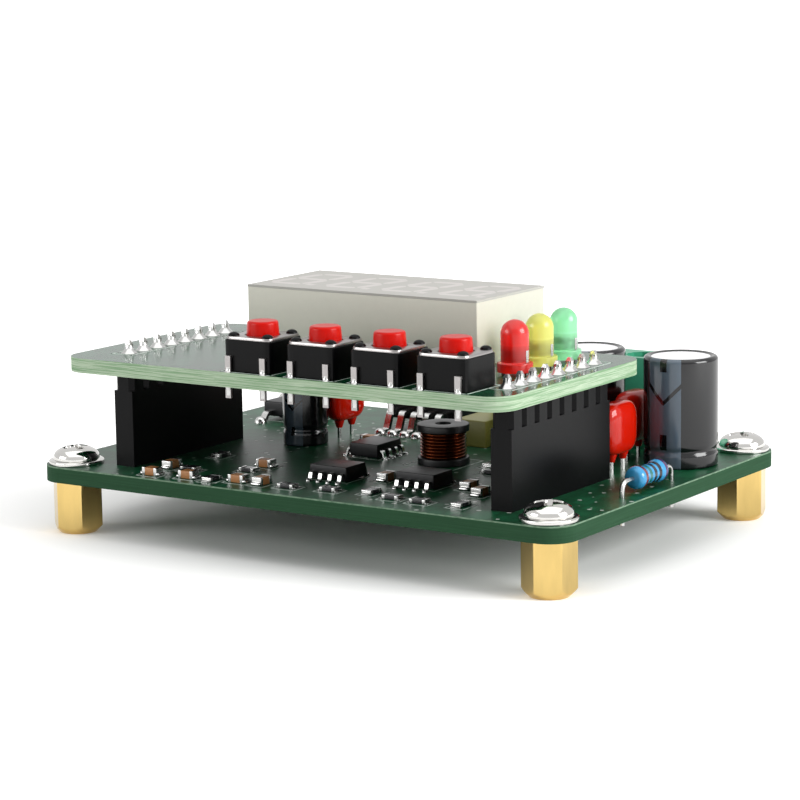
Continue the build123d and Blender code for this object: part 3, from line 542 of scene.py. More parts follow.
def resistor_finish(name):
    """Blue lacquer with five bands: steps over the distance from one end of the body."""
    material, tree, shader = new_shader(name)
    along = share_between(tree, place_parts(tree)["Y"], BONE_LOW[1] * MM, BONE_HIGH[1] * MM)
    bands = steps(
        tree, along, (0.0, LACQUER_BLUE), (0.13, BAND_MAROON), (0.23, LACQUER_BLUE),
        (0.33, BAND_TEAL), (0.42, LACQUER_BLUE), (0.49, BAND_BLACK), (0.58, LACQUER_BLUE), (0.65, BAND_BLACK),
        (0.73, LACQUER_BLUE), (0.83, BAND_DARK), (0.92, LACQUER_BLUE),
    )
    dress(tree, shader, {"Base Color": bands, "Roughness": 0.22})
    roughen(tree, shader, noise(tree, 2.0), 0.3, 0.01)
    return material


MATERIALS["resistor_blue"] = resistor_finish("resistor_blue")

# %% Capacitor film with its stripe
FILM_BLACK = (0.004, 0.004, 0.005)
STRIPE_GREY = (0.085, 0.115, 0.15)
STRIPE_HALF_WIDTH = 0.078
CHEVRON_TIP = 0.6
CHEVRON_SLOPE = 2.1
CHEVRON_WIDTH = 0.045
DASH_SPACING = 0.355
DASH_HALF_HEIGHT = 0.07
DASH_HALF_WIDTH = 0.016


def sleeve_finish(name):
    """Black film with a grey stripe where U is close to a half.

    The chevron is where V, less the slope times the distance from the stripe's middle, lies close to
    its tip. A short dash lies above it and one below it."""
    material, tree, shader = new_shader(name)
    wrap_parts = split(tree, source(tree, "ShaderNodeTexCoord", "UV"))
    off_middle = maths(tree, "ABSOLUTE", maths(tree, "SUBTRACT", wrap_parts["X"], 0.5))
    stripe = maths(tree, "LESS_THAN", off_middle, STRIPE_HALF_WIDTH)
    from_tip = maths(tree, "SUBTRACT", wrap_parts["Y"], CHEVRON_TIP)
    slanted = maths(tree, "SUBTRACT", from_tip, maths(tree, "MULTIPLY", off_middle, CHEVRON_SLOPE))
    chevron = maths(tree, "LESS_THAN", maths(tree, "ABSOLUTE", slanted), CHEVRON_WIDTH / 2)
    from_dash = maths(tree, "SUBTRACT", maths(tree, "ABSOLUTE", from_tip), DASH_SPACING)
    level = maths(tree, "LESS_THAN", maths(tree, "ABSOLUTE", from_dash), DASH_HALF_HEIGHT)
    dash = maths(tree, "MULTIPLY", level, maths(tree, "LESS_THAN", off_middle, DASH_HALF_WIDTH))
    mark = maths(tree, "MAXIMUM", chevron, dash)
    lit = maths(tree, "MULTIPLY", stripe, maths(tree, "SUBTRACT", 1.0, mark))
    dress(tree, shader, {"Base Color": blend(tree, lit, FILM_BLACK, STRIPE_GREY), "Roughness": 0.16})
    roughen(tree, shader, noise(tree, 0.6), 0.3, 0.02)
    return material


MATERIALS["sleeve"] = sleeve_finish("sleeve")

# %% Give every node of the frame the finish that the record names
for row in frame["record"]["subparts"]:
    node = frame["nodes"][row["node"]]
    node.data.materials.clear()
    node.data.materials.append(MATERIALS[row["material_slot"]])
print("finishes:", len(MATERIALS))

# %% [markdown]
# ## Standoffs
# A standoff is cut from hexagon bar and turned to a cone at its foot. Its surface is a radius for each
# angle and height: the hexagon's radius, or the cone's where that is smaller. The rings go down the
# bore, out under the foot, up the outside and back over the top, so the skin closes on itself.

# %% Standoffs
STANDOFF_BORE = 1.5
FOOT_RADIUS = 2.1
FOOT_HEIGHT = 0.8
TOP_EASE = 0.1
EASE_SLOPE = 0.4
STANDOFF_POINTS = 144
STANDOFF_TURNS = np.radians([18.0, 0.0, -14.0, 27.0])


def standoff(low, high, turn):
    """Radius = across flats / 2 / cos(angle from the middle of the flat), cut by the foot's cone.

    Turn is the bar's own angle: the four were screwed in by hand, and each stopped where it did."""
    size = high - low
    flats = min(size[0], size[1]) / 2
    corner = flats / np.cos(np.pi / 6)
    angle = turn + full_turn(STANDOFF_POINTS)
    hexagon = flats / np.cos((angle - turn) % (np.pi / 3) - np.pi / 6)
    ease_start = size[2] - TOP_EASE
    heights = np.concatenate([np.linspace(0, FOOT_HEIGHT, 7), [FOOT_HEIGHT + 0.3, ease_start, size[2]]])
    rows = [(STANDOFF_BORE, z) for z in (size[2], 0.0)]
    for z in heights:
        cone = FOOT_RADIUS + (corner - FOOT_RADIUS) * z / FOOT_HEIGHT
        top_cut = corner - EASE_SLOPE * max(0.0, z - ease_start)
        rows.append((np.minimum(hexagon, min(cone, top_cut)), z))
    return skin(rings_about((*((low + high) / 2)[:2], low[2]), angle, rows), loop=True)


standoffs = [standoff(*box, turn) for box, turn in zip(solids("standoffs"), STANDOFF_TURNS)]
piece("standoffs_fine", standoffs, "brass", instead_of=["standoffs"])

# %% [markdown]
# ## Screws
# A pan head screw has a thin flange, a dome and a cross shaped recess. The head is a height over a
# polar grid: the dome's profile by radius, less the recess where the point lies in either arm.
# Near an arm's wall the depth changes over a short distance, so the walls slope as pressed ones do.

# %% Screws
FLANGE_RADIUS = 3.1
FLANGE_THICKNESS = 0.45
HEAD_RADIUS = 2.6
HEAD_HEIGHT = 2.0
SHANK_RADIUS = 1.45
RECESS_ARM = 1.5
RECESS_HALF_WIDTH = 0.34
RECESS_DEPTH = 1.3
WALL_SLOPE = 0.16
HEAD_FULLNESS = 0.8
HEAD_RINGS = 44
SCREW_POINTS = 120
SCREW_TURNS = [0.5, 0.2, 1.1, 0.8]


def recess(x, y):
    """Depth of the cross: for each arm the product of two ramps, one across it and one along it."""
    across = np.clip((RECESS_HALF_WIDTH - np.abs([x, y])) / WALL_SLOPE + 0.5, 0, 1)
    along = np.clip((RECESS_ARM - np.abs([y, x])) / (3 * WALL_SLOPE), 0, 1)
    return RECESS_DEPTH * (across * along).max(axis=0)


def screw(low, high, turn):
    """Rings up the shank, under the flange, over its rim, and inwards over the head to the middle.

    The head's radius follows cos(a) and its rise sin(a) to a power, less the depth of the recess."""
    angle = full_turn(SCREW_POINTS)
    edge = FLANGE_THICKNESS + 0.1
    rows = [*soften([
        (SHANK_RADIUS, low[2] - BOARD_TOP), (SHANK_RADIUS, 0), (FLANGE_RADIUS, 0),
        (FLANGE_RADIUS, FLANGE_THICKNESS * 0.8), (FLANGE_RADIUS - 0.12, FLANGE_THICKNESS),
        (HEAD_RADIUS + 0.18, FLANGE_THICKNESS + 0.05), (HEAD_RADIUS, edge),
    ], 0.06)]
    for quarter in np.linspace(0, np.pi / 2, HEAD_RINGS)[1:]:
        radius = HEAD_RADIUS * np.cos(quarter) + 0.001
        rise = (HEAD_HEIGHT - edge) * np.sin(quarter) ** HEAD_FULLNESS
        dip = recess(radius * np.cos(angle + turn), radius * np.sin(angle + turn))
        rows.append((radius, edge + rise - dip))
    return skin(rings_about((*((low + high) / 2)[:2], BOARD_TOP), angle, rows))


screws = [screw(*box, turn) for box, turn in zip(solids("standoff_screws"), SCREW_TURNS)]
piece("screws_fine", screws, "chrome", instead_of=["standoff_screws"])

# %% [markdown]
# ## Tact switches
# Each switch is a black moulded body, a pressed bright cover held by four melted stakes, and a red
# button. The body and the cover are rings again, from the outside outline across to a round hole. To
# join a square outline to a circle, both need the same number of points at matching angles, so the
# outline is measured by angle: the radius of a rounded square in that direction.

# %% Square outlines by angle
SWITCH_POINTS = 96


def square_by_angle(half, power, angle):
    """Radius of a rounded square: half / (|cos|^p + |sin|^p)^(1/p). A higher power has tighter corners."""
    return half / (np.abs(np.cos(angle)) ** power + np.abs(np.sin(angle)) ** power) ** (1 / power)


def ring_stack(centre, rows, loop=False):
    """Rings about a centre from rows of (half size, power, height). Power None is a circle."""
    angle = full_turn(SWITCH_POINTS)
    outlines = [
        (half if power is None else square_by_angle(half, power, angle), z)
        for half, power, z in rows
    ]
    return skin(rings_about((centre[0], centre[1], 0.0), angle, outlines), loop=loop)


# %% Switch bodies, covers and stakes
STAKE_RADIUS = 0.62
STAKE_OFFSET = 2.2
STAKE_RISE = 0.4
WELL_RADIUS = 2.2
WELL_FLOOR = 1.0
COVER_HOLE_RADIUS = 1.9
COVER_GAP = 0.02


def switch_parts(number):
    """The fine body, cover and stakes of one switch, placed by the boxes of its nodes."""
    low, high = box_mm(f"switch_base_{number}")
    cover_low, cover_high = box_mm(f"switch_cover_{number}")
    centre = (cover_low + cover_high) / 2
    half = (cover_high[0] - cover_low[0]) / 2
    shoulder, top = cover_low[2] - COVER_GAP, cover_high[2]
    body = ring_stack(centre, [
        (half - 0.06, 14, low[2]), (half, 14, low[2] + 0.08), (half, 14, shoulder - 0.08),
        (half - 0.06, 14, shoulder), (WELL_RADIUS, None, shoulder), (WELL_RADIUS, None, low[2] + WELL_FLOOR),
    ])
    hole = COVER_HOLE_RADIUS
    cover = ring_stack(centre, [
        (half - 0.02, 8, cover_low[2]), (half - 0.02, 8, top - 0.12), (half - 0.06, 8, top - 0.03),
        (half - 0.14, 8, top), (hole + 0.06, None, top), (hole, None, top - 0.06), (hole, None, cover_low[2]),
    ], loop=True)
    stem = [(STAKE_RADIUS * 0.8, shoulder - 0.2), (STAKE_RADIUS * 0.8, top), (STAKE_RADIUS, top)]
    angles = np.radians([15, 35, 55, 75, 88])
    head = np.column_stack([STAKE_RADIUS * np.cos(angles), top + STAKE_RISE * np.sin(angles)])
    stake = np.concatenate([stem, head])
    offsets = (-STAKE_OFFSET, STAKE_OFFSET)
    spots = [(centre[0] + dx, centre[1] + dy, 0) for dx in offsets for dy in offsets]
    return body, cover, [skin(turned(stake, spot, SMALL_POINTS)) for spot in spots]


SWITCH_NUMBERS = range(1, 5)
for number in SWITCH_NUMBERS:
    body, cover, stakes = switch_parts(number)
    base_node, cover_node = f"switch_base_{number}", f"switch_cover_{number}"
    piece(f"switch_body_fine_{number}", [body, *stakes], "black_plastic", instead_of=[base_node])
    piece(f"switch_cover_fine_{number}", [cover], "cover_steel", instead_of=[cover_node])

# %% [markdown]
# ## Buttons
# The buttons move, so each one rides on its own body. A button is turned: a plunger, a flange that
# stays under the cover, and a slightly tapered cap with a soft rim and a faint hollow on top.

# %% Buttons
PLUNGER_RADIUS = 1.0
CAP_ROOT_RADIUS = 1.78
CAP_TOP_RADIUS = 1.66
FLANGE_BELOW_TOP = (2.35, 1.87)
CAP_BELOW_TOP = 1.8


def button(number):
    """Profile from the plunger to the middle of the cap, with its corners softened."""
    low, high = box_mm(f"button_{number}")
    centre = (low + high) / 2
    flange = (high[0] - low[0]) / 2
    top = high[2]
    flange_low, flange_high = (top - depth for depth in FLANGE_BELOW_TOP)
    profile = [(PLUNGER_RADIUS, low[2]), (PLUNGER_RADIUS, flange_low), (flange, flange_low),
               (flange, flange_high), (CAP_ROOT_RADIUS, flange_high)]
    cap = soften([(CAP_ROOT_RADIUS, top - CAP_BELOW_TOP), (CAP_TOP_RADIUS, top),
                  (CAP_TOP_RADIUS - 0.76, top - 0.02), (0.02, top - 0.05)], 0.34, 6)
    return skin(turned(np.concatenate([profile, cap]), (centre[0], centre[1], 0), MEDIUM_POINTS))


for number in SWITCH_NUMBERS:
    piece(f"button_fine_{number}", [button(number)], "red_plastic", f"button_{number}", [f"button_{number}"])

# %% [markdown]
# ## Lamps
# A lamp's lens is a flange with one flat, a straight barrel and a round dome. The flat is made by
# pushing every point of the flange that lies beyond it back to one plane.

# %% Lamp lenses
LENS_RADIUS = 1.5
LENS_FLANGE_HEIGHT = 1.0


def lens(node):
    """A turned profile: flange, barrel, and a dome whose radius is cos(a) and height sin(a)."""
    low, high = box_mm(node)
    flange = (high[1] - low[1]) / 2
    centre = (high[0] - flange, (low[1] + high[1]) / 2, low[2])
    barrel = high[2] - low[2] - LENS_RADIUS
    foot = soften([(flange - 0.05, 0), (flange, 0.06), (flange, LENS_FLANGE_HEIGHT - 0.06),
                   (flange - 0.08, LENS_FLANGE_HEIGHT), (LENS_RADIUS + 0.04, LENS_FLANGE_HEIGHT)], 0.05)
    angles = np.radians(np.linspace(0, 89, 14))
    dome = np.column_stack([LENS_RADIUS * np.cos(angles), barrel + LENS_RADIUS * np.sin(angles)])
    neck = [(LENS_RADIUS, LENS_FLANGE_HEIGHT + 0.05)]
    rings = turned(np.concatenate([foot, neck, dome]), centre, MEDIUM_POINTS)
    rings[..., 0] = np.maximum(rings[..., 0], low[0])
    return skin(rings)


for colour in LENS_TINTS:
    node = f"{colour}_led_lens"
    piece(f"{colour}_lens_fine", [lens(node)], f"{colour}_lens", instead_of=[node])

# %% [markdown]
# ## Display
# The display's shell is a moulded box with slightly eased edges. Its face and bars stay as they are in
# the frame, because their shapes are already exact.

# %% Display shell
shell_low, shell_high = box_mm("display_shell")
piece("display_shell_fine", [skin(block(shell_low, shell_high, 0.12, 0.05))], "display_white",
      instead_of=["display_shell"])

# %% [markdown]
# ## Electrolytic capacitors
# The can stands in a shrink film that is drawn in round a groove near the foot, and curls over the
# can's rim. The film is turned from one profile. It gets a UV map so that its stripe can be painted:
# U is the angle, counted so that a half points to -Y, and V is the height.

# %% Capacitor film and cans
FILM_POINTS = 72
# each row is (distance in from the outside, height above the foot), in mm
FILM_GROOVE = ((0.0, 1.45), (0.2, 1.9), (0.0, 2.35))
# each row is (distance in from the outside, distance below the top), in mm
FILM_LIP = ((0.0, 0.3), (0.35, 0.0), (0.7, 0.12), (0.85, 0.17), (0.9, 0.3))
CAN_RIM = ((0.35, 0.4), (0.35, 0.0), (0.75, 0.0), (0.95, 0.03))


def capacitor_film(low, high):
    """Profile: up the outside with the groove, over the rounded shoulder, and down inside the lip."""
    foot, radius, height = round_box(low, high)
    outside = soften([
        (radius - 0.25, 0), (radius, 0.12),
        *[(radius - depth, z) for depth, z in FILM_GROOVE],
        *[(radius - inset, height - drop) for inset, drop in FILM_LIP],
    ], 0.22, 5)
    return turned(outside, foot, FILM_POINTS)


def wrap(obj, rings):
    """Writes the UV map: U from the corner's angle round the piece's own axis, and V from its height."""
    middle = rings.reshape(-1, 3).mean(axis=0) * MM
    low, high = rings[..., 2].min() * MM, rings[..., 2].max() * MM
    mesh = obj.data
    layer = mesh.uv_layers.new(name="wrap")
    corners = np.empty(len(mesh.loops), int)
    mesh.loops.foreach_get("vertex_index", corners)
    places = np.empty(len(mesh.vertices) * 3)
    mesh.vertices.foreach_get("co", places)
    spot = places.reshape(-1, 3)[corners]
    u = (np.arctan2(spot[:, 0] - middle[0], -(spot[:, 1] - middle[1])) / (2 * np.pi) + 0.5) % 1.0
    v = (spot[:, 2] - low) / (high - low)
    layer.data.foreach_set("uv", np.column_stack([u, v]).ravel())


for number, box in enumerate(solids("capacitor_sleeves"), 1):
    rings = capacitor_film(*box)
    obj = piece(f"capacitor_film_{number}", [skin(rings)], "sleeve",
                instead_of=["capacitor_sleeves"] if number == 1 else ())
    wrap(obj, rings)


def can(low, high):
    """A closed can with a shallow pressed rim round its top disc."""
    foot, radius, height = round_box(low, high)
    rim = [(radius - inset, height - drop) for inset, drop in CAN_RIM]
    profile = soften([(radius - CAN_RIM[0][0], 0.05), *rim, (0.02, height - 0.02)], 0.12)
    return skin(turned(profile, foot, LARGE_POINTS))


cans = [can(*box) for box in solids("capacitor_cans")]
piece("cans_fine", cans, "aluminium", instead_of=["capacitor_cans"])

# %% [markdown]
# ## Film capacitors
# These are dipped in resin, which leaves a rounded pillow. A pillow is an ellipsoid with blunter
# corners: each cosine and sine is raised to a power under one, and keeps its sign.

# %% Film capacitors
FILM_FOOT_HEIGHT = 0.8
FILM_TOP_MARGIN = 0.5
FILM_LEAD_REACH = 1.27
FILM_FOOT = [(0.35, 0), (0.45, 0.3), (0.62, 0.8), (0.7, 1.5)]


def blunt(value, power):
    """Sign kept, size raised to a power: under one it fills out the corners of an ellipse."""
    return np.sign(value) * np.abs(value) ** power


def pillow(node):
    """x = a C(v) C(u), y = b C(v) S(u), z = c S(v), with C and S the blunted cosine and sine."""
    low, high = box_mm(node)
    low, high = low + [0, 0, FILM_FOOT_HEIGHT], high - [0, 0, FILM_TOP_MARGIN]
    centre, half = (low + high) / 2, (high - low) / 2
    u = full_turn(MEDIUM_POINTS)[None, :]
    v = np.linspace(-np.pi / 2 + 0.03, np.pi / 2 - 0.03, 28)[:, None]
    x = half[0] * blunt(np.cos(v), 0.55) * blunt(np.cos(u), 0.8)
    y = half[1] * blunt(np.cos(v), 0.45) * blunt(np.sin(u), 0.7)
    z = half[2] * blunt(np.sin(v), 0.6) + 0 * u
    foot_z = low[2] - FILM_FOOT_HEIGHT
    feet = [
        skin(turned(FILM_FOOT, (centre[0], centre[1] + reach, foot_z), SMALL_POINTS))
        for reach in (-FILM_LEAD_REACH, FILM_LEAD_REACH)
    ]
    return [skin(np.stack([x, y, z], -1) + centre), *feet]


for number in range(1, 4):
    node = f"film_capacitor_{number}"
    piece(f"{node}_fine", pillow(node), "film_red", instead_of=[node], sharp=60)

# %% [markdown]
# ## Resistor
# The body is turned about a line along Y, so its rings are made upright and then tipped over. Its two
# leads are round wire: a circle carried along a path of two straight runs and a quarter bend.

# %% Resistor body and wire
WIRE_RADIUS = 0.275
WIRE_BEND = 0.9
WIRE_POINTS = 14


def resistor_body():
    """A dog bone: round end caps and a thinner waist between them."""
    centre = (BONE_LOW + BONE_HIGH) / 2
    half, radius = (BONE_HIGH[1] - BONE_LOW[1]) / 2, (BONE_HIGH[0] - BONE_LOW[0]) / 2
    cap = [(0.35, 0), (radius * 0.75, 0), (radius, 0.55), (radius * 0.98, 1.3), (radius * 0.82, 1.9)]
    left = [(r, -half + inset) for r, inset in cap]
    right = [(r, half - inset) for r, inset in cap[::-1]]
    profile = soften(left + right, 0.4, 5)
    rings = turned(profile, (0, 0, 0), MEDIUM_POINTS)
    return skin(np.stack([rings[..., 0], rings[..., 2], rings[..., 1]], -1) + centre)


def wire(path, radius):
    """A circle carried along a path: at each point it lies across the path's direction there."""
    path = np.asarray(path, float)
    along = np.gradient(path, axis=0)
    along /= np.linalg.norm(along, axis=1)[:, None]
    side = np.cross(along, [1.0, 0.0, 0.0])
    side /= np.linalg.norm(side, axis=1)[:, None]
    other = np.cross(along, side)
    angle = full_turn(WIRE_POINTS)[None, :, None]
    circle = np.cos(angle) * side[:, None, :] + np.sin(angle) * other[:, None, :]
    return skin(path[:, None, :] + radius * circle)


def bent_lead(low, high):
    """Wire from the foot of its box up, round a quarter bend, and level into the nearer end of the body."""
    centre = (BONE_LOW + BONE_HIGH) / 2
    side = np.sign((low + high)[1] / 2 - centre[1])
    foot_y = high[1] - WIRE_RADIUS if side > 0 else low[1] + WIRE_RADIUS
    bend = np.linspace(0, np.pi / 2, 9)
    corner = np.column_stack([
        np.full(len(bend), centre[0]), foot_y - side * WIRE_BEND * (1 - np.cos(bend)),
        centre[2] - WIRE_BEND * (1 - np.sin(bend)),
    ])
    foot = [[centre[0], foot_y, low[2]]]
    cap = [[centre[0], (BONE_HIGH if side > 0 else BONE_LOW)[1], centre[2]]]
    return wire(np.concatenate([foot, corner, cap]), WIRE_RADIUS)


leads = [bent_lead(*box) for box in solids("resistor_leads")]
piece("resistor_body_fine", [resistor_body()], "resistor_blue", instead_of=["resistor_body"])
piece("resistor_wire_fine", leads, "tin", instead_of=["resistor_leads"])

# %% [markdown]
# ## Inductor
# A drum of ferrite with flanges, and enamelled wire wound between them. Seen from outside, turns of
# wire are a row of half circles on the winding's profile.

# %% Inductor drum and winding
TURN_PITCH = 0.36
NECK_RADIUS = 1.5
DRUM_FLANGE = 0.8
DRUM_DIMPLE = (0.9, 0.25)
WINDING_POINTS = 56


def drum():
    """Profile of the lower flange, the neck and the upper flange, with eased rims."""
    foot, radius, height = round_box(*box_mm("inductor_core"))
    dimple, depth = DRUM_DIMPLE
    profile = soften([
        (radius - 0.3, 0), (radius, 0), (radius, DRUM_FLANGE), (NECK_RADIUS, DRUM_FLANGE),
        (NECK_RADIUS, height - DRUM_FLANGE), (radius, height - DRUM_FLANGE), (radius, height),
        (dimple, height), (dimple - 0.05, height - depth), (0.02, height - depth),
    ], 0.1)
    return skin(turned(profile, foot, LARGE_POINTS))


def winding():
    """Radius = wound radius + half a pitch times |sin| of the height, one hump for each turn."""
    foot, radius, height = round_box(*box_mm("inductor_winding"))
    turns = round(height / TURN_PITCH)
    z = np.linspace(0, height, turns * 8 + 1)
    hump = radius - TURN_PITCH / 2 + TURN_PITCH / 2 * np.abs(np.sin(z / height * turns * np.pi))
    profile = np.concatenate([np.column_stack([hump, z]), [(NECK_RADIUS, height), (NECK_RADIUS, 0)]])
    return skin(turned(profile, foot, WINDING_POINTS), loop=True)


piece("inductor_core_fine", [drum()], "ferrite", instead_of=["inductor_core"])
piece("inductor_winding_fine", [winding()], "copper", instead_of=["inductor_winding"], sharp=80)

# %% [markdown]
# ## Chips and chip parts
# Moulded bodies have eased edges and sides that lean in. Ceramic chip parts are one block with plated
# ends, so each gets a body and two slightly larger end caps, with a small fillet of solder outside.

# %% Moulded bodies
CHIP_DRAFT = 0.09
piece("chip_bodies_fine",
      [skin(block(low, high, 0.1, 0.06, CHIP_DRAFT)) for low, high in solids("chip_bodies")],
      "chip_black", instead_of=["chip_bodies"])
for node, edge in (("regulator_body", 0.35), ("transistor_body", 0.2)):
    low, high = box_mm(node)
    piece(f"{node}_fine", [skin(block(low, high, 0.3, edge))], "chip_black", instead_of=[node])
low, high = box_mm("tantalum_capacitor")
piece("tantalum_fine", [skin(block(low, high, 0.15, 0.12, 0.1))], "tantalum_yellow",
      instead_of=["tantalum_capacitor"])

# %% [markdown]
# ## Flat leads
# A chip's lead is a flat strip that leaves the body level, drops, and ends in a level foot. The drop
# follows the curve 3 t^2 - 2 t^3, which starts and ends level. Each lead's box gives its reach, and the
# nearest body gives the side it leaves from.

# %% Flat leads and solder beads
BEAD_POINTS = 14


def gull_wing(low, high, away, exit_z, foot_z, thickness, drop):
    """A strip along s = reach t, z = exit + (foot - exit) (3 q^2 - 2 q^3), with q the share of the drop."""
    axis = int(abs(away[1]) > abs(away[0]))
    other = 1 - axis
    t = np.linspace(0, 1, 17)
    q = np.clip((t - drop[0]) / (drop[1] - drop[0]), 0, 1)
    start, end = (low[axis], high[axis]) if away[axis] > 0 else (high[axis], low[axis])
    fall = 3 * q ** 2 - 2 * q ** 3
    path = np.column_stack([start + (end - start) * t, exit_z + (foot_z - exit_z) * fall])
    along = np.gradient(path, axis=0)
    along /= np.linalg.norm(along, axis=1)[:, None]
    normal = np.column_stack([-along[:, 1], along[:, 0]]) * thickness / 2
    rings = np.empty((len(t), 4, 3))
    for k, (side, face) in enumerate(((0, -1), (1, -1), (1, 1), (0, 1))):
        rings[:, k, axis] = path[:, 0] + face * normal[:, 0]
        rings[:, k, 2] = path[:, 1] + face * normal[:, 1]
        rings[:, k, other] = (low, high)[side][other]
    return skin(rings)


def nearest(boxes, spot):
    """The box whose middle is nearest to a spot."""
    return min(boxes, key=lambda box: np.linalg.norm((box[0] + box[1]) / 2 - spot))


def bead(x, y, z, reach, height, up=1.0):
    """A low mound of solder: radius = reach cos(a), height = height sin(a)."""
    a = np.linspace(0, np.pi / 2 - 0.1, 6)
    return skin(turned(np.column_stack([reach * np.cos(a), up * height * np.sin(a)]), (x, y, z), BEAD_POINTS))


# %% Leads of the chips
CHIP_LEAD_THICKNESS = 0.2
CHIP_LEAD_DROP = (0.3, 0.62)
BEAD_OFFSET = 0.38
CHIP_BEAD = (0.3, 0.22)
chip_boxes = solids("chip_bodies")
wings, beads = [], []
for low, high in solids("chip_leads"):
    middle, size = (low + high) / 2, high - low
    body_low, body_high = nearest(chip_boxes, middle)
    away = np.sign((2 * middle - body_low - body_high)[:2]) * (size[:2] == size[:2].max())
    up, face_z = (-1.0, upper_low[2]) if hangs(body_high) else (1.0, BOARD_TOP)
    foot_z = face_z + up * CHIP_LEAD_THICKNESS / 2
    exit_z = (body_low[2] + body_high[2]) / 2
    wings.append(gull_wing(low, high, away, exit_z, foot_z, CHIP_LEAD_THICKNESS, CHIP_LEAD_DROP))
    spot = middle[:2] + away * size[:2] * BEAD_OFFSET
    beads.append(bead(*spot, face_z, *CHIP_BEAD, up))
piece("chip_leads_fine", wings, "tin", instead_of=["chip_leads"], sharp=50)

# %% Frames of the regulator and the transistor
FRAME_BEAD = (0.75, 0.75)
FRAME_BEAD_INSET = 0.5
FRAMES = {"regulator_frame": (0.5, (0.34, 0.62)), "transistor_frame": (0.45, (0.25, 0.6))}
for node, (thickness, drop) in FRAMES.items():
    parts, boxes = [], solids(node)
    tab = max(boxes, key=lambda box: np.prod((box[1] - box[0])[:2]))
    for low, high in boxes:
        if low is tab[0]:
            parts.append(skin(block(low, high, 0.2, 0.1)))
        else:
            exit_z, foot_z = high[2] - thickness / 2, BOARD_TOP + thickness / 2
            parts.append(gull_wing(low, high, (0, -1), exit_z, foot_z, thickness, drop))
            beads.append(bead((low[0] + high[0]) / 2, low[1] + FRAME_BEAD_INSET, BOARD_TOP, *FRAME_BEAD))
    piece(f"{node}_fine", parts, "tin", instead_of=[node], sharp=50)
piece("foot_solder", beads, "tin", sharp=60)

# %% Chip parts with plated ends and solder
END_LENGTH = 0.42
FILLET_REACH = 0.35
FILLET_SHARE = 0.45
PLATING = 0.03
PLATING_OVERLAP = 0.2


def chip_part(low, high):
    """The body, its two end caps and the two solder fillets, along whichever of X and Y is longer."""
    axis = int(high[0] - low[0] <= high[1] - low[1])
    inward = np.eye(3)[axis]
    inset = inward * PLATING_OVERLAP + PLATING
    body = skin(block(low + inset, high - inset, 0.05, 0.04))
    metal = []
    for at_low in (True, False):
        cap_low, cap_high = low.copy(), high.copy()
        if at_low:
            cap_high[axis] = low[axis] + END_LENGTH
        else:
            cap_low[axis] = high[axis] - END_LENGTH
        metal.append(skin(block(cap_low, cap_high, 0.07, 0.06)))
        bead_low = cap_low - inward * FILLET_REACH * at_low
        bead_high = cap_high + inward * FILLET_REACH * (not at_low)
        bead_high[2] = low[2] + FILLET_SHARE * (high[2] - low[2])
        metal.append(skin(block(bead_low, bead_high, 0.25, 0.18)))
    return body, metal


for node, slot in (("chip_capacitors", "ceramic_brown"), ("chip_resistors", "resistor_black")):
    bodies, metal = [], []
    for box in solids(node):
        body, ends = chip_part(*box)
        bodies.append(body)
        metal.extend(ends)
    piece(f"{node}_fine", bodies, slot, instead_of=[node])
    piece(f"{node}_ends", metal, "tin")

# %% [markdown]
# ## Solder
# Solder wets a lead and its pad, and leaves a hollow cone round the lead. The cone's profile falls
# quickly near the lead and flattens out towards the pad: radius = lead + reach (1 - t)^2.2.

# %% Solder cones
CONE_POINTS = 18


def solder_cone(x, y, z, lead, reach, height, up):
    """One cone on the board face at height z, pointing up or down."""
    t = np.linspace(0, 1, 7)
    profile = np.column_stack([lead + reach * (1 - t) ** 2.2, up * height * t])
    return skin(turned(profile, (x, y, z), CONE_POINTS))


def cones(spots, z, cone, up=1.0):
    """A cone of one shape at every spot (x, y)."""
    return [solder_cone(x, y, z, *cone, up) for x, y in spots]


def middles(node):
    """The middle of every solid of a node, as rows of x and y."""
    return [((low + high) / 2)[:2] for low, high in solids(node)]


# each cone is (radius at the lead, reach, height), in mm
PIN_CONE = (0.36, 0.55, 1.05)
SOCKET_CONE = (0.34, 0.55, 1.0)
LEG_CONE_ABOVE = (0.27, 0.16, 0.5)
LEG_CONE_BELOW = (0.27, 0.16, 0.9)
DISPLAY_CONE = (0.3, 0.5, 0.9)
CAPACITOR_CONE = (0.32, 0.6, 0.9)
LEG_HALF_THICKNESS = 0.15

joints = []
for row in ("left", "right"):
    joints += cones(middles(f"{row}_header_pins"), UPPER_TOP, PIN_CONE)
    joints += cones(middles(f"{row}_socket_contacts"), board_low[2], SOCKET_CONE, -1.0)
switch_middle_y = sum(box_mm("switch_base_1"))[1] / 2
legs = []
for low, high in solids("switch_legs"):
    y = high[1] - LEG_HALF_THICKNESS if high[1] > switch_middle_y else low[1] + LEG_HALF_THICKNESS
    legs.append(((low[0] + high[0]) / 2, y))
joints += cones(legs, UPPER_TOP, LEG_CONE_ABOVE)
joints += cones(legs, upper_low[2], LEG_CONE_BELOW, -1.0)
for node in ("display_pins", "led_leads"):
    joints += cones(middles(node), upper_low[2], DISPLAY_CONE, -1.0)
for node in ("capacitor_leads", "film_capacitor_leads"):
    joints += cones(middles(node), board_low[2], CAPACITOR_CONE, -1.0)
piece("solder_joints", joints, "tin", sharp=60)

# %% [markdown]
# ## White print on the boards
# The boards carry printed outlines round their parts. Each is a thin frame of paint just above the
# coat. Only plain outlines are drawn, and no words.

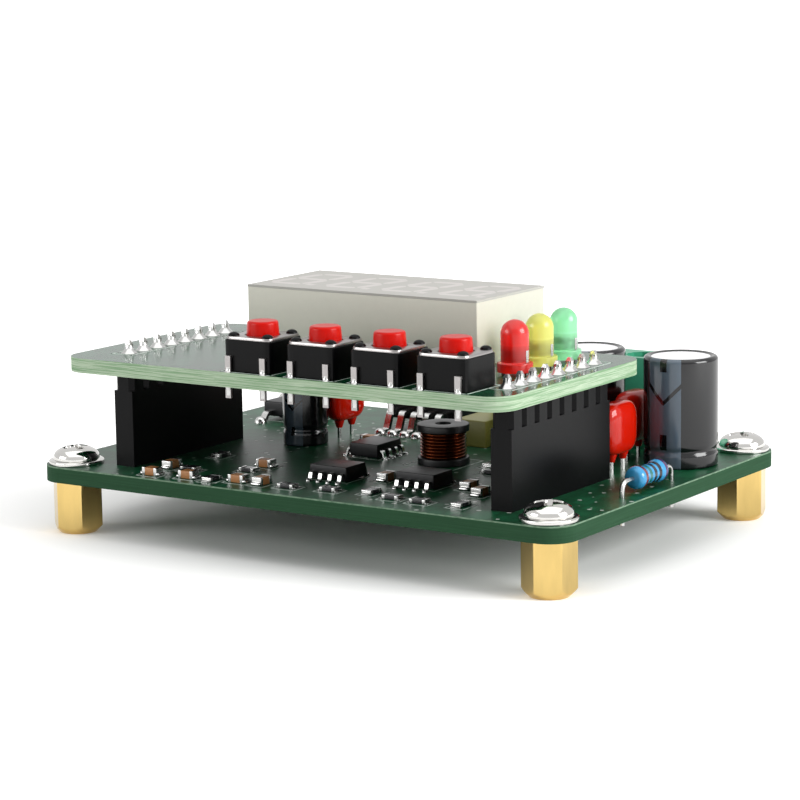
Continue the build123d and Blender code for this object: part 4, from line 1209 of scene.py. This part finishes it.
# %% Print
PRINT_HEIGHT = 0.02
PRINT_WIDTH = 0.15
PRINT_MARGINS = {"chip_capacitors": 0.55, "chip_resistors": 0.55, "chip_bodies": 0.25,
                 "inductor_core": 0.4, "regulator_body": 0.4, "transistor_body": 0.4}
SWITCH_MARGIN = 0.35
STRIP_MARGIN = 0.2
PRINT_PAINT = plain("print_white", (0.55, 0.62, 0.57), 0.5, 0.0, 0.04, 2.0, 0.002)


def bar(x0, y0, x1, y1, z):
    """A flat bar of paint."""
    corners = np.array([[x0, y0], [x1, y0], [x1, y1], [x0, y1]])
    return skin(np.array([np.column_stack([corners, np.full(4, h)]) for h in (z, z + PRINT_HEIGHT)]))


def outline(low, high, z, margin):
    """Four bars round a box, margin away from it."""
    x0, y0, x1, y1 = low[0] - margin, low[1] - margin, high[0] + margin, high[1] + margin
    w = PRINT_WIDTH
    return [bar(x0, y0, x1, y0 + w, z), bar(x0, y1 - w, x1, y1, z), bar(x0, y0, x0 + w, y1, z),
            bar(x1 - w, y0, x1, y1, z)]


prints = []
for node, margin in PRINT_MARGINS.items():
    for low, high in solids(node):
        if not hangs(high):
            prints += outline(low, high, BOARD_TOP, margin)
for number in SWITCH_NUMBERS:
    prints += outline(*box_mm(f"switch_cover_{number}"), UPPER_TOP, SWITCH_MARGIN)
for row in ("left", "right"):
    prints += outline(*box_mm(f"{row}_pin_strip"), UPPER_TOP, STRIP_MARGIN)
piece("print_marks", prints, "segment_white", sharp=30, finish=PRINT_PAINT)

# %% [markdown]
# ## Floor, light and camera
# The picture stands on a plain white floor. Its own light keeps it white where nothing shades it. Only
# rays from the camera, through resin or off a glossy surface see that light, so it doesn't light the
# object. The lamps are wide and soft, and the one behind leaves no reflection of its own.

# %% Floor and world
GLOW_REACH = 12.0
GLOW_STOPS = ((0.0, 0.0), (0.075, 0.0), (0.15, 0.42), (1.0, 1.0))
SHADE_LEVEL = 0.155
FLOOR_HALF = 4.0
FLOOR_GAP = 0.02
FLOOR_COLOUR = (0.9, 0.9, 0.89)


def sees_backdrop(tree):
    """One for rays from the camera, through clear resin or off a glossy surface, and else nought."""
    path = tree.nodes.new("ShaderNodeLightPath")
    seen = maths(tree, "MAXIMUM", path.outputs["Is Camera Ray"], path.outputs["Is Transmission Ray"])
    return maths(tree, "MAXIMUM", seen, path.outputs["Is Glossy Ray"])


def floor_finish():
    """Pale diffuse paint with a glow of its own, which metal and clear resin see too.

    The glow depends on sqrt((x / half length)^2 + (y / half width)^2): none under the boards, where the
    shadow lies, and full where the lamps no longer reach, so the floor stays white to the horizon."""
    material, tree, shader = new_shader("floor_paint")
    spot = place_parts(tree)
    half = (board_high - board_low) / 2 * MM
    across, along = (maths(tree, "DIVIDE", spot[axis], half[k]) for k, axis in enumerate("XY"))
    squares = [maths(tree, "MULTIPLY", share, share) for share in (across, along)]
    distance = maths(tree, "SQRT", maths(tree, "ADD", *squares))
    glow = stops_along(tree, maths(tree, "DIVIDE", distance, GLOW_REACH), GLOW_STOPS)
    dress(tree, shader, {
        "Base Color": FLOOR_COLOUR, "Roughness": 0.9, "Specular IOR Level": 0.05, "Emission Color": (1, 1, 1),
        "Emission Strength": maths(tree, "MULTIPLY", sees_backdrop(tree), glow),
    })
    return material


floor_mesh = bpy.data.meshes.new("floor")
floor_corners = [(x * FLOOR_HALF, y * FLOOR_HALF, 0) for x, y in ((-1, -1), (1, -1), (1, 1), (-1, 1))]
floor_mesh.from_pydata(floor_corners, [], [(0, 1, 2, 3)])
floor_mesh.materials.append(floor_finish())
floor = bpy.data.objects.new("floor", floor_mesh)
floor.location.z = -FLOOR_GAP * MM
bpy.context.scene.collection.objects.link(floor)
floor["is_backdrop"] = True

world = bpy.data.worlds.new("studio")
world.use_nodes = True
bpy.context.scene.world = world
strength = share_between(world.node_tree, sees_backdrop(world.node_tree), 0.0, 1.0, SHADE_LEVEL, 1.0)
dress(world.node_tree, world.node_tree.nodes["Background"], {"Color": (1, 1, 1), "Strength": strength})
print(f"floor {2 * FLOOR_HALF} m wide, {FLOOR_GAP} mm below the feet")

# %% Lamps
CENTRE = Vector((0.0, 0.0, 0.012))


def lamp(name, place, size, power):
    """A rectangular area lamp at a place in metres, turned to the middle of the module."""
    data = bpy.data.lights.new(name, "AREA")
    data.shape = "RECTANGLE"
    data.size, data.size_y = size
    data.energy = power
    obj = bpy.data.objects.new(name, data)
    turn = (CENTRE - Vector(place)).to_track_quat("-Z", "Y").to_matrix().to_4x4()
    obj.matrix_world = Matrix.Translation(place) @ turn
    obj.visible_camera = False
    bpy.context.scene.collection.objects.link(obj)
    obj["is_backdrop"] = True
    print(f"{name}: {power} W, {size[0]} by {size[1]} m")
    return obj


lamp("top_lamp", (0.04, -0.06, 0.44), (0.62, 0.62), 1.4)
lamp("right_lamp", (0.46, 0.06, 0.20), (0.30, 0.25), 3.0)
lamp("front_lamp", (-0.30, -0.38, 0.16), (0.30, 0.18), 1.1)
lamp("back_lamp", (-0.36, 0.50, 0.16), (0.90, 0.30), 0.8).visible_glossy = False

# %% [markdown]
# ## Camera
# The camera stands to the front right of the module and a little above it. Its place, direction, small
# roll and long lens were found by fitting the corners of parts of known size to the photo.

# %% Camera
CAMERA_PLACE = (0.17005, -0.25824, 0.06742)
CAMERA_AZIMUTH = np.radians(-33.561)
CAMERA_ELEVATION = np.radians(9.763)
CAMERA_ROLL = np.radians(-0.848)
CAMERA_LENS = 125.62

forward = Vector((np.sin(CAMERA_AZIMUTH) * np.cos(CAMERA_ELEVATION),
                  np.cos(CAMERA_AZIMUTH) * np.cos(CAMERA_ELEVATION), -np.sin(CAMERA_ELEVATION)))
level_right = Vector((np.cos(CAMERA_AZIMUTH), -np.sin(CAMERA_AZIMUTH), 0.0))
level_up = level_right.cross(forward)
right = level_right * np.cos(CAMERA_ROLL) + level_up * np.sin(CAMERA_ROLL)
up = level_up * np.cos(CAMERA_ROLL) - level_right * np.sin(CAMERA_ROLL)
camera_data = bpy.data.cameras.new("camera")
camera_data.lens = CAMERA_LENS
camera_data.sensor_width = 36.0
camera = bpy.data.objects.new("camera", camera_data)
turn = Matrix((right, up, -forward)).transposed().to_4x4()
camera.matrix_world = Matrix.Translation(CAMERA_PLACE) @ turn
bpy.context.scene.collection.objects.link(camera)
bpy.context.scene.camera = camera
bpy.context.scene.view_settings.view_transform = "Standard"
print("camera to the origin in mm:", round(Vector(CAMERA_PLACE).length / MM))

# %% [markdown]
# ## Sizes and the end
# The box of the dressed module is printed.

# %% Print the size and finish
low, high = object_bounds()
print("visual box in mm", [round(v / MM, 2) for v in high - low])
